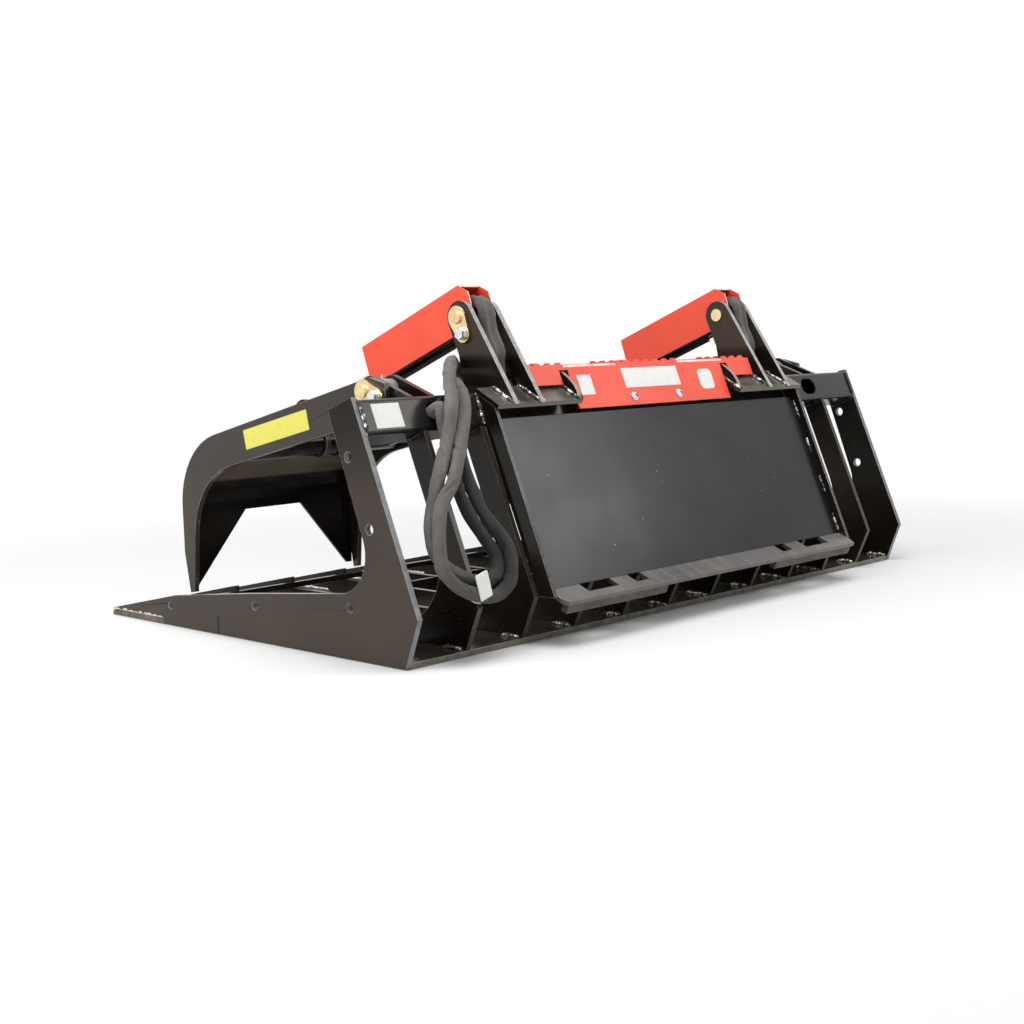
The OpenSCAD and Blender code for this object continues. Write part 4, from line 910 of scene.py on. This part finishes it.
def sticker_mesh(name, centre, across, over, width, height, corner, thick=STICKER_T):
    """Rings that grow from the middle to a rounded rectangle, over its rim and back underneath:
    place = centre + x * across + y * over + lift * normal."""
    across = np.asarray(across, float) / np.linalg.norm(across)
    over = np.asarray(over, float) / np.linalg.norm(over)
    quarter = np.linspace(0, np.pi / 2, CORNER_POINTS)
    turns = np.concatenate([quarter + k * np.pi / 2 for k in range(4)])
    sign_x = np.repeat([1, -1, -1, 1], CORNER_POINTS)
    sign_y = np.repeat([1, 1, -1, -1], CORNER_POINTS)
    x = RING_SCALE[:, None] * (sign_x * (width / 2 - corner) + corner * np.cos(turns))
    y = RING_SCALE[:, None] * (sign_y * (height / 2 - corner) + corner * np.sin(turns))
    lift = (RING_LIFT * thick)[:, None, None] * np.cross(across, over)
    points = x[..., None] * across + y[..., None] * over + lift
    return grid_mesh(name, np.asarray(centre) + points * MM)


def rear_disc(name, centre, *size):
    """A sticker's shape on a face that looks to the rear and leans with the uprights."""
    return sticker_mesh(name, centre, (-1, 0, 0), REAR_UP, *size)


# %% Stickers on the rear faces
COVER_FACE = 28.05
REAR_STICKERS = (
    ("cover_plate_sticker", rear(-0.6, 459.7, COVER_FACE), 209, 49, 2),
    ("cover_small_sticker", rear(242, 448.2, COVER_FACE), 47, 48, 1.5),
    ("cover_round_sticker", rear(-211, 446.4, COVER_FACE), 56, 52, 13),
    ("tube_sticker", rear(833, 417, 0.05), 75, 52, 1.5),
)
for name, centre, *size in REAR_STICKERS:
    add_piece(name, rear_disc(name, centre, *size), "rack", white_sticker)
print("rear stickers", len(REAR_STICKERS))

# %% Sticker on the near arm
ARM_FACE = 770.75
ARM_STICKER = (234, 45, 2)
arm_low = np.array([-675.5, 418.0])
arm_high = np.array([-448.0, 470.0])
arm_mid = np.array([ARM_FACE, *(arm_low + arm_high) / 2]) * MM
arm_dir = (arm_high - arm_low) / np.linalg.norm(arm_high - arm_low)
arm_up = np.array([-arm_dir[1], arm_dir[0]])
arm_mesh = sticker_mesh("arm_sticker", arm_mid, (0, *arm_dir), (0, *arm_up), *ARM_STICKER)
add_piece("arm_sticker", arm_mesh, "left_arm", yellow_sticker)
print("arm sticker at", arm_mid)

# %% [markdown]
# ## Small parts of the step cover
# A dark plate hangs from the tread behind each notch of the cover, so no daylight shows past the
# gusset: a dark sheet for painted shade. Each button bolt has a hex socket. A socket could be cut
# into its bolt. At this size a dark disc reads the same, a painted shade of its hollow, so both are
# flat discs of the sticker's kind, thicker.

# %% Shade plates in the notches and socket shades
NOTCH_SHADE = (38, 27, 3, 4.0)
SOCKET_SHADE = (7, 7, 3.4, 0.6)
bolt_verts = nodes["step_bolts"].data.vertices
bolt_flat = np.empty(3 * len(bolt_verts))
bolt_verts.foreach_get("co", bolt_flat)
bolt_behind = (bolt_flat.reshape(-1, 3) - rear(0, 0, 0)) @ (rear(0, 0, 1000) - rear(0, 0, 0))
BOLT_HEAD_TOP = float(bolt_behind.max()) / MM
for side, label in BOTH_SIDES:
    # a dark plate in each notch: painted shade
    notch_shade_name = f"{label}_notch_shade_plate"
    notch_shade = rear_disc(notch_shade_name, rear(side * 304, 482.3, 18.6), *NOTCH_SHADE)
    add_piece(notch_shade_name, notch_shade, "rack", plate_black, smooth=False)
    # a black disc on the bolt head: painted shade of the socket's hollow
    socket_shade_name = f"{label}_bolt_socket_shade"
    socket = rear_disc(socket_shade_name, rear(side * 85, 413, BOLT_HEAD_TOP - 0.5), *SOCKET_SHADE)
    add_piece(socket_shade_name, socket, "rack", plate_black)
print("bolt heads stand", round(BOLT_HEAD_TOP, 2), "mm behind the rear line")

# %% [markdown]
# ## Supply hoses
# Two hydraulic hoses leave the block between the near ears, drop over the top tube, hang in a loop
# behind the uprights and come back up to park in the tube's long hole. Each wears a loose woven
# sleeve. A tube along a smooth curve through the CAD's own route points gives the hose, and slow
# waves in its radius give the sleeve's folds.

# %% Hose routes
SLEEVE_R = 13.7
ROUTE_1 = [
    (460, -185.5, 517.1), (460, -209.4, 507.3), (462, -240, 510), (468, -262, 530), (482, -270, 556),
    (504, -260, 576), (534, -236, 586), (572, -202, 586), (610, -168, 572), (668, -110, 542),
    (702, -72, 512), (722, -60, 452), (784, -36, 344), (806, -28, 300), (824, -14, 262), (830, 2, 223),
    (820, 16, 198), (800, 28, 178), (752, 39, 155), (722, 38, 155), (692, 33, 162), (676, 24, 180),
    (672, 12, 204), (704, -28, 286), (716, -58, 366), (711, -88, 464), (711, -95.5, 498.5),
    (711, -124.2, 486.7)]
ROUTE_2 = [
    (488, -185.5, 517.1), (488, -209.4, 507.3), (489, -232, 506), (496, -250, 518), (514, -254, 534),
    (540, -238, 546), (566, -208, 545), (626, -125, 535), (668, -70, 494), (706, -44, 430),
    (732, -26, 396), (762, -12, 352), (800, -3, 318), (826, 12, 278), (850, 42, 202), (836, 52, 172),
    (810, 58, 150), (772, 60, 134), (733, 60, 127), (700, 57, 132), (672, 54, 150), (658, 46, 176),
    (653, 34, 206), (657, 18, 234), (677, -18, 290), (686, -52, 368), (679, -86, 464),
    (679, -95.5, 498.5), (679, -124.2, 486.7)]
SLEEVE_SIDES = 32
SLEEVE_STEP = 3
sleeve_random = np.random.default_rng(11)


def waves(count, spacing, low, high):
    """A value at each ring, on straight lines between random knots that lie a spacing apart."""
    knots = max(4, count // spacing)
    heights = sleeve_random.uniform(low, high, knots)
    return np.interp(np.arange(count), np.linspace(0, count - 1, knots), heights)


def sleeve_points(path):
    """Rings whose radius has folds running along the sleeve and creases across it:
    radius * (1 + folds(2, 3 and 5 to a turn, drifting along) + crease(along) + dent). The dent winds
    slowly round the sleeve and makes the deep fold where it is slack."""
    angle = np.linspace(0, 2 * np.pi, SLEEVE_SIDES, endpoint=False)[None]
    count = len(path)
    drift = waves(count, 14, 0, 6)[:, None]
    turn = waves(count, 22, 0, 5)[:, None]
    fold = 0.070 * np.sin(2 * angle + drift) + 0.050 * np.sin(3 * angle - turn)
    fold = fold + 0.024 * np.sin(5 * angle + 2 * turn)
    crease = waves(count, 3, -1, 1)[:, None] * 0.026 * (1 + np.sin(angle + turn))
    depth = -0.30 * waves(count, 18, 0.2, 1)[:, None]
    dent = depth * np.exp(-(np.sin((angle - drift) / 2) / 0.15) ** 2)
    return tube_points(path, SLEEVE_R * MM * (1 + (fold + crease + dent)), SLEEVE_SIDES)


# %% Hoses in their sleeves


def supply_hose(name, route):
    """A smooth curve through the route, dressed in its sleeve from end to end."""
    path, at = resample(smooth_path(np.array(route, float) * MM), SLEEVE_STEP * MM)
    mesh = grid_mesh(name, sleeve_points(path))
    tube_uv(mesh, len(path), SLEEVE_SIDES, at, 2 * np.pi * SLEEVE_R * MM)
    return add_piece(name, mesh, "rack", sleeve_grey), path, float(at[-1])


for number, route in ((1, ROUTE_1), (2, ROUTE_2)):
    hose, line, length = supply_hose(f"sleeved_hose_{number}", route)
    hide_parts(f"supply_hose_{number}")
    print("hose", number, "is", round(length, 3), "m long")

# %% [markdown]
# ## Tag
# A white card hangs on the hoses at the bottom of their loop. Its card is the sticker's shape made
# thicker, and a narrow nylon tie goes through it and round both hoses. The tie could be a torus, but
# the two hoses side by side make its ring an oval, so a thin tube follows an ellipse.

# %% Tag
TAG_PLACE = (767, 74.9, 154)
TAG_TILT = math.radians(16)
TAG_SIZE = (34, 55)
TAG_CORNER = 3.5
TAG_T = 1.9
TIE_POINTS = 49
TIE_CENTRE = (758.0, 44.0, 143.0)
TIE_REACH = (30.5, 27.5)
TIE_R = 1.6
tag_across = (-math.cos(TAG_TILT), 0, math.sin(TAG_TILT))
tag_over = (math.sin(TAG_TILT), 0, math.cos(TAG_TILT))
card_place = (np.array(TAG_PLACE) - np.array([0, TAG_T, 0])) * MM
card_mesh = sticker_mesh("hang_card", card_place, tag_across, tag_over, *TAG_SIZE, TAG_CORNER, TAG_T)
hang_card = add_piece("hang_card", card_mesh, "rack", white_sticker)
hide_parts("hose_tie")
turn = np.linspace(0, 2 * np.pi, TIE_POINTS)
tie_y = TIE_CENTRE[1] + TIE_REACH[0] * np.cos(turn)
tie_z = TIE_CENTRE[2] + TIE_REACH[1] * np.sin(turn)
tie_ring = np.stack([np.full(TIE_POINTS, TIE_CENTRE[0]), tie_y, tie_z], -1) * MM
tie_mesh = grid_mesh("nylon_tie", tube_points(tie_ring, TIE_R * MM, 8))
nylon_tie = add_piece("nylon_tie", tie_mesh, "rack", white_sticker)
print("tag hung")

# %% [markdown]
# ## Cylinder hoses
# Two short hoses leave each cylinder under its guard, bend over the base pin and drop between the
# ears to the block. They share one loose sleeve, so an oval tube stands for both, with a valley along
# its middle where the cloth sinks between the two hoses.

# %% Cylinder hose sleeves
BASE_PIN = np.array([-226.0, 683.0])
BEND_R = 40.0
BEND_DEGREES = (79, 68, 48, 22)
TEE_TOP = rear(0, 482.5, -13)[1:] / MM
COVER_X = 474.0
HALF_WIDTH = 22.5
HALF_HEIGHT = 10.6
ROUND_COVER = 0.11


def over_pin(x):
    """The sleeve's path: an arc about the base pin, then down to the block behind the ears."""
    arc = [BASE_PIN + BEND_R * np.array([math.cos(a), math.sin(a)]) for a in np.radians(BEND_DEGREES)]
    drop = [BASE_PIN + [BEND_R + 5, -30], BASE_PIN + [BEND_R + 25, -74]]
    foot = [rear(0, 517.7, -5.7)[1:] / MM, rear(0, 493.5, -13)[1:] / MM, TEE_TOP]
    return np.array([[x, *p] for p in arc + drop + foot]) * MM


def fuller(wave):
    """A sine or cosine with its size to the power 0.8, which squares an oval a little."""
    return np.sign(wave) * np.abs(wave) ** 0.8


def cover_points(path):
    """Oval rings: path + fold * (half width * fuller cos * across + half height * fuller sin * valley
    * lift). The folds drift along it. The places go the other way round, so the faces look out."""
    across = np.array([1.0, 0.0, 0.0])
    lift = np.cross(across, tangents(path))
    angle = np.linspace(0, 2 * np.pi, SLEEVE_SIDES, endpoint=False)
    drift = waves(len(path), 10, 0, 6)[:, None]
    fold = 1 + 0.04 * np.sin(3 * angle + drift) + 0.03 * np.sin(5 * angle - drift)
    fold = fold + waves(len(path), 2, -0.03, 0.03)[:, None]
    valley = 1 - 0.45 * np.exp(-(np.cos(angle) / 0.30) ** 2)
    wide = (fold * (HALF_WIDTH * fuller(np.cos(angle))))[..., None] * across
    high = (fold * (HALF_HEIGHT * fuller(np.sin(angle)) * valley))[..., None] * lift[:, None]
    return (path[:, None] + (wide + high) * MM)[:, ::-1]


for side, label in BOTH_SIDES:
    path, at = resample(smooth_path(over_pin(side * COVER_X)), SLEEVE_STEP * MM)
    mesh = grid_mesh(f"{label}_hose_cover", cover_points(path))
    tube_uv(mesh, len(path), SLEEVE_SIDES, at, ROUND_COVER)
    cover = add_piece(f"{label}_hose_cover", mesh, "rack", cover_sleeve)
    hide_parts(f"{label}_cylinder_hoses")
print("cylinder sleeves made")

# %% [markdown]
# ## Floor and background
# The studio is a pale sheet under the grapple that fades to white. A picture of a studio could stand
# behind the object. A plain white that only the camera, mirrors and glass see adds no light of its
# own, and it looks the same from every side.

# %% Floor
FLOOR_HALF = 14.0
FLOOR_POINTS = 9
FLOOR_GAP = 0.001
FADE_FROM = 1.1
FADE_TO = 2.6


def seen_directly(tree):
    """1 for what the camera, a mirror or glass looks at, 0 for the light on the object."""
    rays = add(tree, "ShaderNodeLightPath").outputs
    seen = maths(tree, "ADD", rays["Is Camera Ray"], rays["Is Glossy Ray"], True)
    return maths(tree, "ADD", seen, rays["Is Transmission Ray"], True)


def floor_material():
    """Pale floor: takes the object's shadow near it, and turns into plain white far from it."""
    material, tree, shader = new_material("studio_floor")
    fill(tree, shader, {"Base Color": (0.86, 0.86, 0.86, 1), "Roughness": 0.7})
    light = add(tree, "ShaderNodeEmission", {"Color": (1, 1, 1, 1), "Strength": 1.0})
    place = add(tree, "ShaderNodeTexCoord").outputs["Object"]
    far = add(tree, "ShaderNodeVectorMath", {0: place}, operation="LENGTH").outputs["Value"]
    blend = product(tree, rising(tree, far, FADE_FROM, FADE_TO), seen_directly(tree))
    both = add(tree, "ShaderNodeMixShader", {0: blend, 1: shader.outputs[0], 2: light.outputs[0]})
    fill(tree, tree.nodes["Material Output"], {"Surface": both.outputs[0]})
    return material


floor_line = np.linspace(-FLOOR_HALF, FLOOR_HALF, FLOOR_POINTS)
floor_x, floor_y = np.meshgrid(floor_line, floor_line, indexing="ij")
floor_z = np.full_like(floor_x, cad_box[0][2] - FLOOR_GAP)
floor_grid = np.stack([floor_x, floor_y, floor_z], -1)
floor = bpy.data.objects.new("floor", grid_mesh("floor", floor_grid, closed_ring=False, caps=False))
bpy.context.scene.collection.objects.link(floor)
floor.data.materials.append(floor_material())
print("floor at", cad_box[0][2])

# %% [markdown]
# ## Lamps and world
# The photograph is lit softly from above, with a brighter end and a faint light on the rear. A
# picture of a sky could light it, but three large soft lamps are easier to set, and a weak even
# world fills the shadows.

# %% Lamps and world
WORLD_LIGHT = 0.35


def lamp(name, place, aim, size, watts):
    """A soft rectangular lamp at a place, turned to an aim point."""
    data = bpy.data.lights.new(name, "AREA")
    data.shape = "RECTANGLE"
    data.size, data.size_y = size
    data.energy = watts
    light = bpy.data.objects.new(name, data)
    bpy.context.scene.collection.objects.link(light)
    light.location = place
    light.rotation_euler = (Vector(aim) - Vector(place)).to_track_quat("-Z", "Y").to_euler()


def studio_world():
    """A soft grey-white sky for the light, and plain white where the camera or a mirror looks."""
    world = bpy.data.worlds.new("studio")
    bpy.context.scene.world = world
    world.use_nodes = True
    tree = world.node_tree
    sky = tree.nodes["Background"]
    fill(tree, sky, {"Color": (1, 1, 1, 1), "Strength": WORLD_LIGHT})
    white = add(tree, "ShaderNodeBackground", {"Color": (1, 1, 1, 1), "Strength": 1.0})
    sockets = {0: seen_directly(tree), 1: sky.outputs[0], 2: white.outputs[0]}
    both = add(tree, "ShaderNodeMixShader", sockets)
    fill(tree, tree.nodes["World Output"], {"Surface": both.outputs[0]})


lamp("top_lamp", (0.4, 0.4, 4.2), (0, -0.3, 0.3), (3.0, 2.6), 120)
lamp("rear_lamp", (-2.0, 2.5, 2.1), (0.5, -0.05, 0.3), (1.9, 1.4), 26)
lamp("end_lamp", (4.0, -1.2, 2.2), (0.3, -0.3, 0.35), (2.4, 1.8), 105)
studio_world()
bpy.context.scene.view_settings.view_transform = "Standard"
